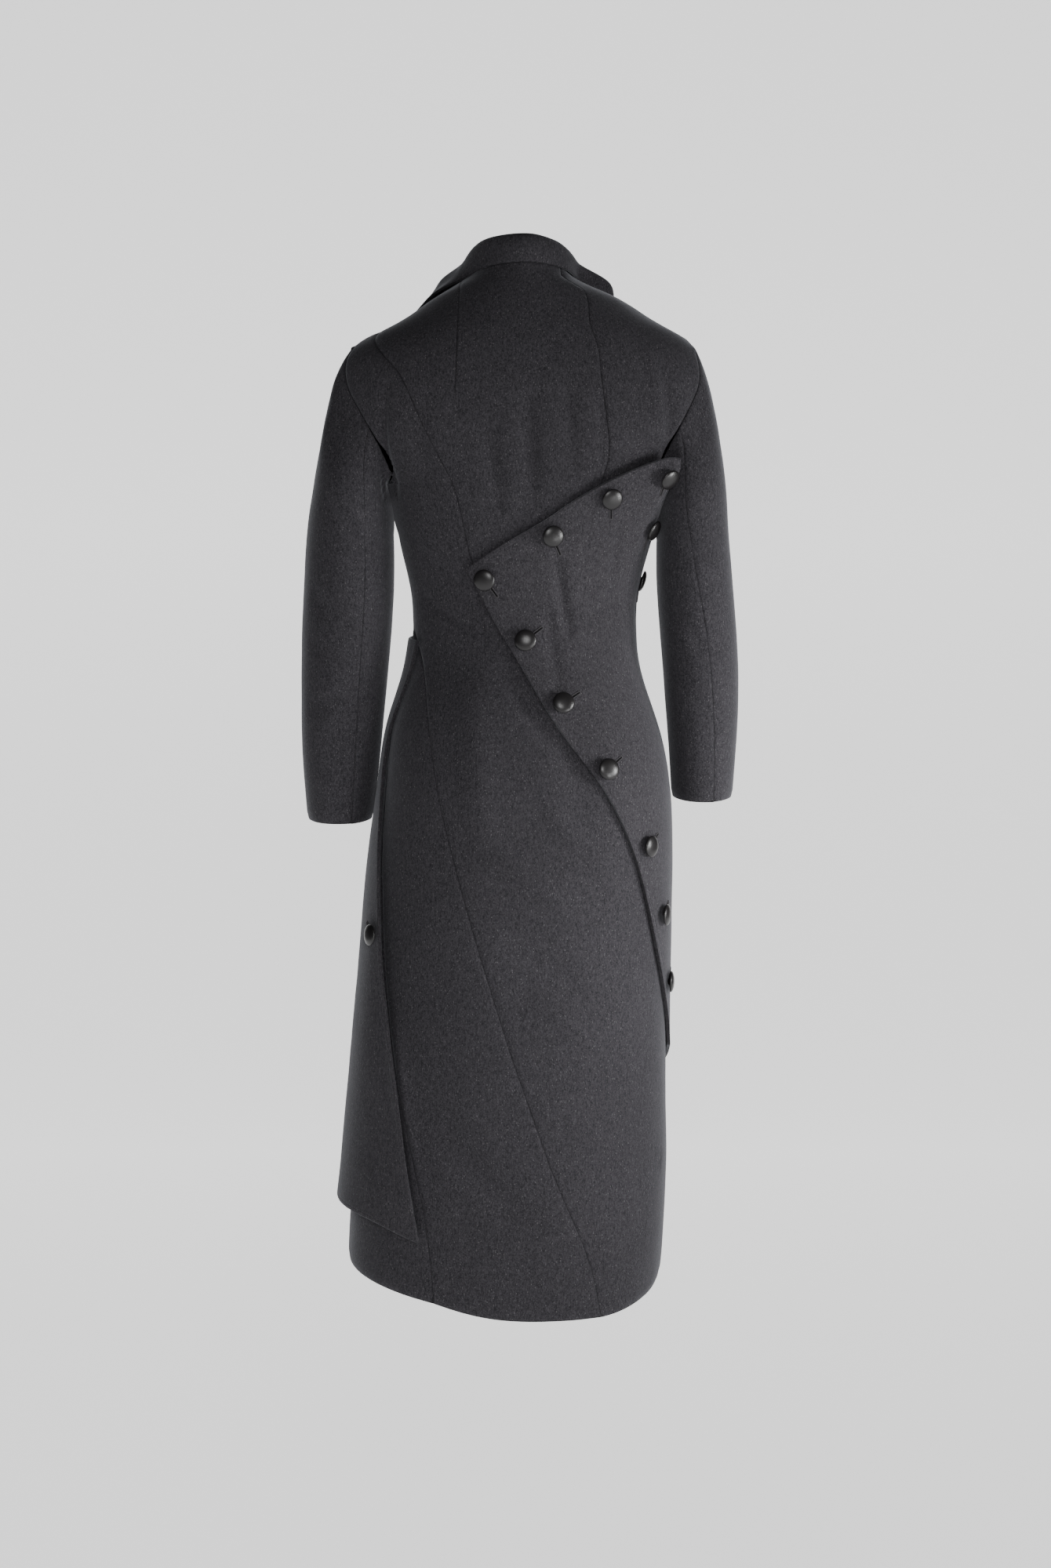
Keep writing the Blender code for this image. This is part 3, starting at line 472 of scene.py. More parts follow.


# %% [markdown]
# ## The creases
#
# Real cloth shows where it is pulled and where it is pushed together. Each crease is a soft
# trough or ridge along a bowed line through three given points: start, middle and end. Its
# width is where it has faded away, and its depth is below zero for a trough. It is deepest in
# its middle and fades to its ends. The distance is measured along the cloth, so that two
# layers that lie on each other move together.

# %% List the creases
# Each row: place, then start, middle, end, width and depth in metres.
CREASES = (
    ("neck to blade",
     (0.003, -0.107, -0.075), (0.005, -0.104, -0.140), (0.010, -0.101, -0.215), 0.020, -0.0030),
    ("left of blade",
     (-0.043, -0.105, -0.110), (-0.036, -0.103, -0.165), (-0.026, -0.101, -0.215), 0.018, -0.0021),
    ("right of blade",
     (0.045, -0.103, -0.050), (0.050, -0.103, -0.110), (0.054, -0.102, -0.175), 0.016, -0.0020),
    ("beside right seam",
     (0.084, -0.102, -0.075), (0.087, -0.100, -0.120), (0.090, -0.096, -0.170), 0.011, -0.0021),
    ("right shoulder",
     (0.116, -0.077, -0.006), (0.132, -0.085, -0.048), (0.144, -0.088, -0.100), 0.017, -0.0020),
    ("right armpit",
     (0.150, -0.079, -0.038), (0.165, -0.079, -0.105), (0.158, -0.067, -0.158), 0.014, -0.0034),
    ("left armpit",
     (-0.157, -0.085, -0.060), (-0.159, -0.074, -0.120), (-0.154, -0.045, -0.200), 0.012, -0.0040),
    ("left armpit closes",
     (-0.156, -0.004, -0.180), (-0.153, -0.004, -0.206), (-0.150, -0.004, -0.236), 0.050, 0.0014),
    ("right armpit closes",
     (0.158, -0.004, -0.180), (0.155, -0.004, -0.206), (0.150, -0.004, -0.242), 0.050, 0.0022),
    ("left armpit top",
     (-0.160, -0.020, -0.172), (-0.160, -0.020, -0.188), (-0.158, -0.020, -0.204), 0.022, 0.0024),
    ("left blade",
     (-0.108, -0.095, -0.075), (-0.118, -0.092, -0.130), (-0.108, -0.088, -0.190), 0.020, -0.0012),
    ("wing deep",
     (0.034, -0.095, -0.258), (0.043, -0.090, -0.307), (0.052, -0.089, -0.362), 0.013, -0.0036),
    ("wing thin",
     (0.100, -0.071, -0.215), (0.103, -0.070, -0.250), (0.101, -0.071, -0.292), 0.008, -0.0016),
    ("wing low",
     (0.024, -0.091, -0.315), (0.032, -0.098, -0.365), (0.040, -0.106, -0.425), 0.013, -0.0018),
    ("wing waist",
     (0.060, -0.088, -0.300), (0.090, -0.082, -0.322), (0.120, -0.070, -0.330), 0.016, -0.0014),
    ("below wing edge",
     (-0.035, -0.092, -0.380), (0.016, -0.113, -0.455), (0.078, -0.117, -0.518), 0.015, -0.0030),
    ("hip",
     (0.020, -0.126, -0.548), (0.070, -0.120, -0.594), (0.120, -0.100, -0.640), 0.022, 0.0027),
    ("hip left ridge",
     (-0.064, -0.105, -0.395), (-0.056, -0.128, -0.500), (-0.040, -0.134, -0.630), 0.045, 0.0028),
    ("hip right trough",
     (0.050, -0.112, -0.420), (0.060, -0.122, -0.500), (0.080, -0.120, -0.610), 0.040, -0.0022),
    ("skirt high ridge",
     (-0.040, -0.128, -0.600), (0.006, -0.134, -0.624), (0.055, -0.130, -0.664), 0.026, 0.0031),
    ("skirt middle ridge",
     (0.004, -0.138, -0.762), (0.046, -0.133, -0.786), (0.094, -0.122, -0.820), 0.026, 0.0032),
    ("skirt middle trough",
     (-0.030, -0.138, -0.700), (0.020, -0.136, -0.722), (0.070, -0.128, -0.760), 0.028, -0.0028),
    ("skirt long trough",
     (-0.138, -0.106, -0.850), (-0.066, -0.138, -0.945), (0.020, -0.147, -1.034), 0.030, -0.0042),
    ("skirt right trough",
     (0.086, -0.126, -0.915), (0.126, -0.096, -0.940), (0.162, -0.050, -0.970), 0.024, -0.0024),
    ("beside flap",
     (-0.158, -0.100, -0.780), (-0.142, -0.114, -0.885), (-0.120, -0.122, -1.000), 0.018, 0.0028),
    ("left waist low",
     (-0.120, -0.043, -0.303), (-0.092, -0.064, -0.326), (-0.058, -0.082, -0.346), 0.013, -0.0020),
    ("left waist high",
     (-0.128, -0.050, -0.250), (-0.098, -0.068, -0.272), (-0.067, -0.080, -0.297), 0.012, -0.0014),
    ("left sleeve top",
     (-0.226, -0.075, -0.196), (-0.198, -0.074, -0.226), (-0.174, -0.066, -0.258), 0.014, -0.0026),
    ("left sleeve elbow",
     (-0.246, -0.050, -0.300), (-0.220, -0.062, -0.326), (-0.192, -0.063, -0.346), 0.015, -0.0030),
    ("left sleeve elbow low",
     (-0.248, -0.040, -0.360), (-0.222, -0.058, -0.372), (-0.196, -0.058, -0.380), 0.013, -0.0016),
    ("left sleeve forearm",
     (-0.252, -0.030, -0.438), (-0.226, -0.048, -0.430), (-0.200, -0.054, -0.414), 0.014, -0.0018),
    ("right sleeve top",
     (0.176, -0.062, -0.236), (0.192, -0.066, -0.254), (0.214, -0.058, -0.262), 0.014, -0.0026),
    ("right sleeve elbow",
     (0.184, -0.058, -0.344), (0.202, -0.060, -0.362), (0.226, -0.048, -0.366), 0.014, -0.0028),
    ("right sleeve low",
     (0.186, -0.052, -0.430), (0.206, -0.050, -0.442), (0.226, -0.036, -0.440), 0.013, -0.0016),
    ("front left chest",
     (-0.105, 0.095, -0.130), (-0.080, 0.108, -0.180), (-0.060, 0.112, -0.235), 0.022, -0.0018),
    ("front right chest",
     (0.100, 0.098, -0.110), (0.082, 0.108, -0.165), (0.058, 0.114, -0.225), 0.024, -0.0020),
    ("front waist left",
     (-0.120, 0.050, -0.315), (-0.090, 0.070, -0.330), (-0.050, 0.082, -0.352), 0.018, -0.0018),
    ("front waist right",
     (0.118, 0.050, -0.300), (0.088, 0.072, -0.318), (0.050, 0.084, -0.340), 0.018, -0.0018),
    ("front skirt left",
     (-0.060, 0.110, -0.640), (-0.080, 0.118, -0.780), (-0.110, 0.115, -0.930), 0.032, -0.0026),
    ("front skirt right",
     (0.040, 0.112, -0.660), (0.064, 0.120, -0.800), (0.090, 0.118, -0.960), 0.032, -0.0028),
    ("front hem",
     (-0.010, 0.120, -0.900), (0.006, 0.126, -1.000), (0.000, 0.130, -1.100), 0.026, -0.0022),
)
CREASE_STEPS = 24
CREASE_GAIN = 1.5
LAYER_REACH = 0.022
FADE_POWER = 0.7
LAYER_FADE = 1.6
WIDTH_SHARE = 0.55
CREASE_MARGIN = 0.05


def crease_lines():
    """Turns every crease into a row of points along its bowed line."""
    lines = []
    for place, start, middle, end, width, depth in CREASES:
        start, middle, end = Vector(start), Vector(middle), Vector(end)
        pull = middle * 2 - (start + end) / 2
        points = []
        for step in range(CREASE_STEPS + 1):
            t = step / CREASE_STEPS
            points.append(start * (1 - t) ** 2 + pull * 2 * t * (1 - t) + end * t ** 2)
        fade = [math.sin(math.pi * step / CREASE_STEPS) ** FADE_POWER
                for step in range(CREASE_STEPS + 1)]
        lines.append((np.array(points), np.array(fade), width, depth * CREASE_GAIN))
    return lines


CREASE_LINES = crease_lines()


def crease_depths(points, normals):
    """Returns how far every point moves along its normal for all the creases together."""
    moves = np.zeros(len(points))
    for line, fade, width, depth in CREASE_LINES:
        low, high = line.min(axis=0) - CREASE_MARGIN, line.max(axis=0) + CREASE_MARGIN
        near = np.nonzero(((points > low) & (points < high)).all(axis=1))[0]
        if not len(near):
            continue
        offset = points[near, None, :] - line[None, :, :]
        through = (offset * normals[near, None, :]).sum(axis=2)
        along = np.sqrt(np.maximum((offset ** 2).sum(axis=2) - through ** 2, 0.0))
        closest = along.argmin(axis=1)
        rows = np.arange(len(near))
        distance = along[rows, closest]
        layer = np.clip(LAYER_FADE - np.abs(through[rows, closest]) / LAYER_REACH, 0.0, 1.0)
        bell = np.exp(-((distance / (width * WIDTH_SHARE)) ** 2))
        moves[near] += depth * fade[closest] * layer * bell
    return moves


print("creases:", len(CREASES), "longest:", max(CREASES, key=lambda row: row[4])[0])

# %% [markdown]
# ## Sewing the sheets
#
# A sheet is subdivided, so that its curves are round, then its points move in or out for the
# creases and for a gentle unevenness, as steamed wool has. Along its edges the cloth is
# drawn in a little, where a seam pulls it. At last it gets its thickness, inwards from the
# packed surface, and a small bevel rounds its edges. The overlay is double cloth with a soft
# rolled edge, so its bevel is larger.

# %% Give a sheet its surface and thickness
BROAD_WAVE = 0.090
BROAD_HEIGHT = 0.0007
FINE_WAVE = 0.026
FINE_SHIFT = Vector((7.0, 3.0, 5.0))
FINE_HEIGHT = 0.00022
SEAM_CLOSING = 0.0003
STAND_CLOSING = 0.008
POINTS_DOWN = -0.7
NECK_END = Vector((0.050, -0.0565, 0.057))
NECK_END_REACH = 0.010
NECK_END_CLOSING = 0.0020
EDGE_REACH = 0.020
SMOOTH_ANGLE = math.radians(38)
BEVEL_ANGLE = math.radians(60)
CORNER_TURN = math.radians(33)


def unevenness(point):
    """Returns the gentle rise or fall of steamed wool at a point."""
    broad = noise.noise(point / BROAD_WAVE)
    fine = noise.noise(point / FINE_WAVE + FINE_SHIFT)
    return BROAD_HEIGHT * broad + FINE_HEIGHT * fine


def edge_distances(piece, reach):
    """Returns every point's distance from the sheet's open edge, up to a reach."""
    shape = bmesh.new()
    shape.from_mesh(piece.data)
    rim = [vertex for vertex in shape.verts if vertex.is_boundary]
    tree = KDTree(len(rim))
    for index, vertex in enumerate(rim):
        tree.insert(vertex.co, index)
    tree.balance()
    distances = [min(tree.find(vertex.co)[2], reach) for vertex in shape.verts]
    shape.free()
    return np.array(distances)


def close_seams(piece):
    """Moves the sheet's open edge out a little, so that neighbours meet along a seam.

    The lower edge of the collar's stand faces the neck. It goes further down, inside the
    panels, as the cloth does where a collar is sewn in. The neck end of the right back seam,
    which opens as its two sheets are rounded, is closed further too.
    """
    shape = bmesh.new()
    shape.from_mesh(piece.data)
    moves, reaches = {}, {}
    for edge in shape.edges:
        if not edge.is_boundary:
            continue
        face = edge.link_faces[0]
        along = (edge.verts[1].co - edge.verts[0].co).normalized()
        away = along.cross(face.normal)
        centre = face.calc_center_median()
        if away.dot(edge.verts[0].co - centre) < 0:
            away = -away
        faces_neck = face.normal.x * centre.x + face.normal.y * centre.y < 0
        reach = SEAM_CLOSING
        if (centre - NECK_END).length < NECK_END_REACH:
            reach = NECK_END_CLOSING
        if piece.name == "collar_cloth" and faces_neck and away.z < POINTS_DOWN:
            reach = STAND_CLOSING
        for vertex in edge.verts:
            moves[vertex] = moves.get(vertex, Vector()) + away * reach
            reaches[vertex] = max(reaches.get(vertex, 0.0), reach)
    for vertex, way in moves.items():
        vertex.co += way.normalized() * reaches[vertex]
    shape.to_mesh(piece.data)
    shape.free()


def shape_surface(piece, seam_reach, seam_depth):
    """Moves the sheet's points for creases, unevenness and the pull of its seams."""
    close_seams(piece)
    mesh = piece.data
    count = len(mesh.vertices)
    points = np.empty(count * 3)
    normals = np.empty(count * 3)
    mesh.vertices.foreach_get("co", points)
    mesh.vertices.foreach_get("normal", normals)
    points, normals = points.reshape(-1, 3), normals.reshape(-1, 3)
    moves = crease_depths(points, normals)
    moves += np.array([unevenness(Vector(point)) for point in points])
    distances = edge_distances(piece, EDGE_REACH)
    attribute = mesh.attributes.new(EDGE_ATTRIBUTE, "FLOAT", "POINT")
    attribute.data.foreach_set("value", distances)
    inwards = np.clip(1 - distances / seam_reach, 0.0, 1.0)
    moves -= seam_depth * inwards ** 2
    points = points + normals * moves[:, None]
    mesh.vertices.foreach_set("co", points.ravel())
    mesh.update()


def thicken(piece, thickness, rounding, steps):
    """Gives a sheet its thickness inwards and rounds its edges."""
    apply_modifier(piece, "cloth", "SOLIDIFY", thickness=thickness, offset=-1.0, use_rim=True)
    apply_modifier(piece, "edge", "BEVEL", width=rounding, segments=steps,
                   limit_method="ANGLE", angle_limit=BEVEL_ANGLE)
    only(piece)
    bpy.ops.object.shade_smooth_by_angle(angle=SMOOTH_ANGLE)


# %% Sink a dart
# Each row: node, top, point, half width, depth.
DARTS = (
    ("back_centre", (-0.0735, -0.040, 0.058), (-0.0785, -0.104, -0.080), 0.0011, 0.0010),
)
DART_REACH = 0.012
DART_START = -0.01
DART_FACING = Vector((0.0, -1.0, 0.0))
DART_LINE = 0.2
DART_FADE = 3
DART_SHADE = 3


def sink_dart(piece, top, point, half_width, depth):
    """Cuts three lines along a dart, sinks the middle one and gives the dart painted shade."""
    top, point = Vector(top), Vector(point)
    way = (point - top).normalized()
    across = way.cross(DART_FACING).normalized()
    length = (point - top).length
    for shift in (-half_width, half_width, 0.0):
        shape = edit(piece)
        bpy.ops.mesh.select_mode(type="FACE")
        for face in shape.faces:
            offset = face.calc_center_median() - top
            beside = abs(offset.dot(across)) < DART_REACH
            within = DART_START < offset.dot(way) < length
            if beside and within and face.normal.dot(DART_FACING) > 0:
                face.select = True
        bmesh.update_edit_mesh(piece.data)
        bpy.ops.mesh.bisect(plane_co=top + across * shift, plane_no=across)
        leave()
    shape = edit(piece)
    bpy.ops.mesh.select_mode(type="VERT")
    for vertex in shape.verts:
        offset = vertex.co - top
        share = offset.dot(way) / length
        on_line = abs(offset.dot(across)) < half_width * DART_LINE
        if on_line and share < 1 and vertex.normal.dot(DART_FACING) > 0:
            vertex.co -= vertex.normal * depth * min(1.0, (1 - share) * DART_FADE)
    bmesh.update_edit_mesh(piece.data)
    leave()
    # Points near the dart's line take their distance from it, so the seam group paints shade along
    # the dart.
    attribute = piece.data.attributes[EDGE_ATTRIBUTE]
    for vertex, item in zip(piece.data.vertices, attribute.data):
        offset = vertex.co - top
        if abs(offset.dot(across)) < half_width * DART_SHADE and 0 < offset.dot(way) < length:
            item.value = min(item.value, abs(offset.dot(across)))


# %% List the sheets
SLEEVE_MIDDLE = 0.207
BASE_CLOTH = 0.0026
OVERLAY_CLOTH = 0.0040
# Each row: node, wool, levels of subdividing, X of its upright middle, flat size, area, held.
SHEETS = (
    ("back_centre", "coat", 3, 0.0, (0.275, 0.67), 0.089, "hung"),
    ("back_right_side", "coat", 3, 0.0, (0.17, 0.88), 0.088, "hung"),
    ("back_spiral", "coat", 3, 0.0, (0.28, 1.28), 0.207, "hung"),
    ("back_lower", "coat", 3, 0.0, (0.195, 0.835), 0.101, "hung"),
    ("skirt_left_side", "coat", 3, 0.0, (0.18, 0.795), 0.064, "hung"),
    ("front_left", "coat", 2, 0.0, (0.25, 1.24), 0.256, "hung"),
    ("front_right", "coat", 2, 0.0, (0.25, 1.32), 0.247, "hung"),
    ("collar", "coat", 2, 0.0, (0.44, 0.155), 0.047, "folded"),
    ("sleeve_left_upper", "coat", 3, -SLEEVE_MIDDLE, (0.245, 0.54), 0.104, "hung"),
    ("sleeve_left_under", "coat", 3, -SLEEVE_MIDDLE, (0.18, 0.49), 0.066, "hung"),
    ("sleeve_right_upper", "coat", 3, SLEEVE_MIDDLE, (0.23, 0.515), 0.092, "hung"),
    ("sleeve_right_under", "coat", 3, SLEEVE_MIDDLE, (0.165, 0.47), 0.057, "hung"),
    ("overlay_wing", "overlay", 3, 0.0, (0.25, 0.955), 0.155, "draped"),
    ("overlay_front", "overlay", 2, 0.0, (0.28, 0.97), 0.179, "draped"),
    ("overlay_flap", "overlay", 3, 0.0, (0.195, 0.80), 0.128, "draped"),
)
# Each row: material, slot, thickness, rounding, its steps, seam reach, seam depth.
FINISHES = {
    "coat": (COAT_WOOL, "coat_wool", BASE_CLOTH, 0.0010, 2, 0.0055, 0.0011),
    "overlay": (OVERLAY_WOOL, "overlay_wool", OVERLAY_CLOTH, 0.0015, 3, 0.0040, 0.0003),
}


def keep_corners(piece):
    """Gives the sheet's outer corners a full crease, so that subdividing leaves them sharp."""
    shape = edit(piece)
    bpy.ops.mesh.select_mode(type="VERT")
    for vertex in shape.verts:
        rim = [edge for edge in vertex.link_edges if edge.is_boundary]
        if len(rim) != 2:
            continue
        first = rim[0].other_vert(vertex).co - vertex.co
        second = rim[1].other_vert(vertex).co - vertex.co
        if first.angle(second, math.pi) < math.pi - CORNER_TURN:
            vertex.select = True
    bmesh.update_edit_mesh(piece.data)
    bpy.ops.transform.vert_crease(value=1.0)
    leave()


def sew(node, name, wool_name, levels, across):
    """Makes one cloth sheet from its packed wall."""
    material, slot, thickness, rounding, steps, seam_reach, seam_depth = FINISHES[wool_name]
    piece = copy_of_node(node, name)
    outer_side(piece, thickness, across)
    keep_corners(piece)
    apply_modifier(piece, "round", "SUBSURF", levels=levels, render_levels=levels,
                   boundary_smooth="PRESERVE_CORNERS", use_limit_surface=False)
    shape_surface(piece, seam_reach, seam_depth)
    for dart_node, top, point, half_width, depth in DARTS:
        if dart_node == node:
            sink_dart(piece, top, point, half_width, depth)
    thicken(piece, thickness, rounding, steps)
    piece.data.materials.clear()
    piece.data.materials.append(material)
    return piece, slot


# %% Sew every sheet
total = 0
for node, wool_name, levels, across, flat, area, held in SHEETS:
    name = node + "_cloth"
    piece, slot = sew(node, name, wool_name, levels, across)
    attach(piece, "root")
    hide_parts(node)
    count = triangles(piece)
    total += count
    print(name, count, "triangles")
print("sheets:", len(SHEETS), "with", total, "triangles")

# %% [markdown]
# ## The buttons
#
# One button is turned and the rest are its copies. It starts as a small disc and grows ring
# by ring: the shank of thread below, the flat back, a thin rim and a low satin dome. The
# packed buttons tell where each copy sits and which way it faces.

# %% Turn one button
# Each row: radius, height.
BUTTON_RINGS = (
    (0.0036, -0.0024),
    (0.0034, 0.0000),
    (0.0108, 0.0002),
    (0.0122, 0.0008),
    (0.0125, 0.0017),
    (0.0122, 0.0026),
    (0.0113, 0.0034),
    (0.0096, 0.0042),
    (0.0074, 0.0049),
    (0.0048, 0.0054),
    (0.0018, 0.0056),
)
BUTTON_SIDES = 32
BUTTON_SMOOTH = math.radians(50)
CLOUD_SCALE = 160.0


def turned_button():
    """Turns the pattern button at the origin, facing up."""
    radius, height = BUTTON_RINGS[0]
    bpy.ops.object.select_all(action="DESELECT")
    bpy.ops.mesh.primitive_circle_add(vertices=BUTTON_SIDES, radius=radius, fill_type="NGON")
    button = bpy.context.object
    button.name = "button_pattern"
    shape = edit(button)
    bpy.ops.mesh.select_mode(type="FACE")
    shape.faces.ensure_lookup_table()
    for face in shape.faces:
        face.select = True
    bmesh.update_edit_mesh(button.data)
    for wider, higher in BUTTON_RINGS[1:]:
        bpy.ops.mesh.extrude_region_move(TRANSFORM_OT_translate={"value": (0, 0, higher - height)})
        bpy.ops.transform.resize(value=(wider / radius, wider / radius, 1.0),
                                 center_override=(0.0, 0.0, higher))
        radius, height = wider, higher
    bpy.ops.mesh.select_all(action="SELECT")
    bpy.ops.mesh.normals_make_consistent(inside=False)
    leave()
    apply_modifier(button, "round", "SUBSURF", levels=1, render_levels=1)
    only(button)
    bpy.ops.object.shade_smooth_by_angle(angle=BUTTON_SMOOTH)
    return button


def satin(name, colour, roughness):
    """Makes the buttons' satin: a dark body with a faint cloudiness in its polish."""
    made = bpy.data.materials.new(name)
    made.use_nodes = True
    tree = made.node_tree
    shader = tree.nodes["Principled BSDF"]
    cloud = object_noise(tree, CLOUD_SCALE, 3.0)
    polish = add(tree, "ShaderNodeMapRange")
    polish.inputs["To Min"].default_value = roughness - 0.05
    polish.inputs["To Max"].default_value = roughness + 0.07
    tree.links.new(cloud, polish.inputs["Value"])
    tree.links.new(polish.outputs["Result"], shader.inputs["Roughness"])
    shader.inputs["Base Color"].default_value = (*colour, 1)
    shader.inputs["Specular IOR Level"].default_value = 0.45
    return made


BUTTON_SATIN = satin("button satin", (0.0105, 0.0095, 0.0100), 0.33)
button_pattern = turned_button()
button_pattern.data.materials.append(BUTTON_SATIN)
print("button:", triangles(button_pattern), "triangles")


# %% Place the buttons
# Each row: how far a button leans, in degrees, and how far it rises off its seat, in metres.
LEANS = {
    "button_top_1": (12.0, 0.0014),
    "button_back_4": (9.0, 0.0010),
    "button_back_5": (10.0, 0.0010),
    "button_back_6": (10.0, -0.0016),
    "button_front_2": (0.0, -0.0034),
    "button_flap": (0.0, -0.0008),
}


def placing_of(node):
    """Returns the matrix that carries the pattern to a packed button's place."""
    points = np.array([vertex.co for vertex in frame["nodes"][node].data.vertices])
    middle = points.mean(axis=0)
    normal = Vector(np.linalg.svd(points - middle)[2][2])
    outwards = Vector((middle[0], middle[1], 0.0))
    if normal.dot(outwards) < 0:
        normal = -normal
    heights = (points - middle) @ np.array(normal)
    base = Vector(middle) + normal * float(heights.min())
    up = Vector((0, 0, 1))
    side = up.cross(normal).normalized()
    up = normal.cross(side)
    turn = Matrix((side, up, normal)).transposed().to_4x4()
    lean, rise = LEANS.get(node, (0.0, 0.0))
    return (Matrix.Translation(base + normal * rise) @ turn
            @ Matrix.Rotation(math.radians(lean), 4, "Y"))


button_places = {}
for node in sorted(frame["nodes"]):
    if not node.startswith("button"):
        continue
    place = placing_of(node)
    button_places[node] = place
    button = button_pattern.copy()
    button.data = button_pattern.data.copy()
    button.name = node + "_turned"
    button.data.transform(place)
    bpy.context.scene.collection.objects.link(button)
    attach(button, "root")
    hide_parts(node)
bpy.data.objects.remove(button_pattern, do_unlink=True)
print("buttons:", len(button_places))

# %% [markdown]
# ## The buttonholes
#
# Every button was pushed through a hole that is worked in thread: two thin lips round a dark
# slit. Half of it hides under the button. The lips start as a ring, whose halves are pulled
# apart to a long loop, and the slit is a narrow near-black strip between them, painted shade
# where the cut opens. Both are then laid on the overlay, point by point.

# %% Work the buttonholes
HOLE_START = 0.0010
HOLE_END = 0.0248
HOLE_HALF_WIDTH = 0.0015
LIP_RADIUS = 0.00080
SLIT_HALF_WIDTH = 0.0006
SLIT_STEPS = 16
LIP_STEPS = 24
LIP_SIDES = 8
LIP_RISE = 0.0001
SLIT_RISE = 0.00025
MIDDLE_BAND = 0.00001
LOOK_FROM = 0.02
LOOK_FAR = 0.05
THREAD_SCALE = 1400.0
THREAD_DARK = 0.6
THREAD_LIGHT = 1.4
# The turn of each buttonhole from its button's side, in degrees.
HOLE_TURNS = {
    "button_corner": -54.0, "button_top_1": -66.0, "button_top_2": -83.0, "button_top_3": -85.0,
    "button_back_1": 38.0, "button_back_2": 33.0, "button_back_3": 35.0, "button_back_4": 32.0,
    "button_back_5": 32.0, "button_back_6": 32.0, "button_flap": 150.0,
    "button_front_1": -88.0, "button_front_2": -90.0, "button_front_3": -90.0,
    "button_front_4": -90.0, "button_front_5": -90.0, "button_front_6": -90.0,
    "button_front_7": -90.0,
}


def ring_of_thread():
    """Makes the lips of a buttonhole along X at the origin, as one long loop."""
    bpy.ops.object.select_all(action="DESELECT")
    bpy.ops.mesh.primitive_torus_add(major_radius=HOLE_HALF_WIDTH, minor_radius=LIP_RADIUS,
                                     major_segments=LIP_STEPS, minor_segments=LIP_SIDES)
    lips = bpy.context.object
    lips.name = "buttonhole_pattern"
    middle = (HOLE_START + HOLE_END) / 2
    pull = (HOLE_END - HOLE_START) / 2 - HOLE_HALF_WIDTH
    for side in (-1, 1):
        shape = edit(lips)
        bpy.ops.mesh.select_mode(type="VERT")
        for vertex in shape.verts:
            if vertex.co.x * side > MIDDLE_BAND:
                vertex.select = True
        bmesh.update_edit_mesh(lips.data)
        bpy.ops.transform.translate(value=(side * pull, 0.0, 0.0))
        leave()
    edit(lips)
    bpy.ops.mesh.select_all(action="SELECT")
    bpy.ops.transform.translate(value=(middle, 0.0, 0.0))
    leave()
    return lips


def strip_of_shade():
    """Makes the slit between the lips along X at the origin, a near-black strip of painted shade.
    """
    bpy.ops.object.select_all(action="DESELECT")
    bpy.ops.mesh.primitive_grid_add(x_subdivisions=SLIT_STEPS, y_subdivisions=1, size=1.0)
    slit = bpy.context.object
    slit.name = "slit_pattern"
    edit(slit)
    bpy.ops.mesh.select_all(action="SELECT")
    length = HOLE_END - HOLE_START - HOLE_HALF_WIDTH
    bpy.ops.transform.resize(value=(length, SLIT_HALF_WIDTH * 2, 1.0))
    bpy.ops.transform.translate(value=((HOLE_START + HOLE_END) / 2, 0.0, 0.0))
    leave()
    return slit


def lay_on_cloth(piece, place, turn, trees, rise):
    """Lays a flat piece on the overlay beside a button, turned from the button's side."""
    side, up, normal = (place.to_3x3().col[k] for k in range(3))
    along = side * math.cos(turn) + up * math.sin(turn)
    across = normal.cross(along)
    base = place.to_translation()
    for vertex in piece.data.vertices:
        flat = base + along * vertex.co.x + across * vertex.co.y
        found = None
        for tree in trees:
            start = flat + normal * LOOK_FROM
            hit, facing, index, distance = tree.ray_cast(start, -normal, LOOK_FAR)
            if hit is not None and (found is None or distance < found[1]):
                found = (hit, distance, facing)
        ground, way = (found[0], found[2]) if found else (flat, normal)
        vertex.co = ground + way * (vertex.co.z + rise)


def plain(name, colour, roughness):
    """Makes a plain dull material."""
    made = bpy.data.materials.new(name)
    made.use_nodes = True
    tree = made.node_tree
    shader = tree.nodes["Principled BSDF"]
    shader.inputs["Roughness"].default_value = roughness
    shader.inputs["Specular IOR Level"].default_value = 0.2
    thread = object_noise(tree, THREAD_SCALE, 1.0)
    dark = (*[part * THREAD_DARK for part in colour], 1)
    light = (*[part * THREAD_LIGHT for part in colour], 1)
    shade = mix_colours(tree, thread, dark, light)
    tree.links.new(shade, shader.inputs["Base Color"])
    return made


THREAD = plain("buttonhole thread", (0.044, 0.042, 0.045), 0.8)
# The slit's near-black colour is painted shade, where the cut in the cloth opens.
SHADE = plain("slit shade", (0.0035, 0.0033, 0.0037), 0.95)
lips_pattern = ring_of_thread()
lips_pattern.data.materials.append(THREAD)
slit_pattern = strip_of_shade()
slit_pattern.data.materials.append(SHADE)
overlay_trees = []
graph = bpy.context.evaluated_depsgraph_get()
for name in ("overlay_wing_cloth", "overlay_front_cloth", "overlay_flap_cloth"):
    overlay_trees.append(BVHTree.FromObject(bpy.data.objects[name], graph))
for node, place in button_places.items():
    pair = []
    for pattern, rise in ((lips_pattern, LIP_RISE), (slit_pattern, SLIT_RISE)):
        part = pattern.copy()
        part.data = pattern.data.copy()
        bpy.context.scene.collection.objects.link(part)
        lay_on_cloth(part, place, math.radians(HOLE_TURNS[node]), overlay_trees, rise)
        pair.append(part)
    only(*pair)
    bpy.ops.object.join()
    hole = bpy.context.object
    hole.name = node.replace("button", "buttonhole")
    for face in hole.data.polygons:
        face.use_smooth = True
    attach(hole, "root")
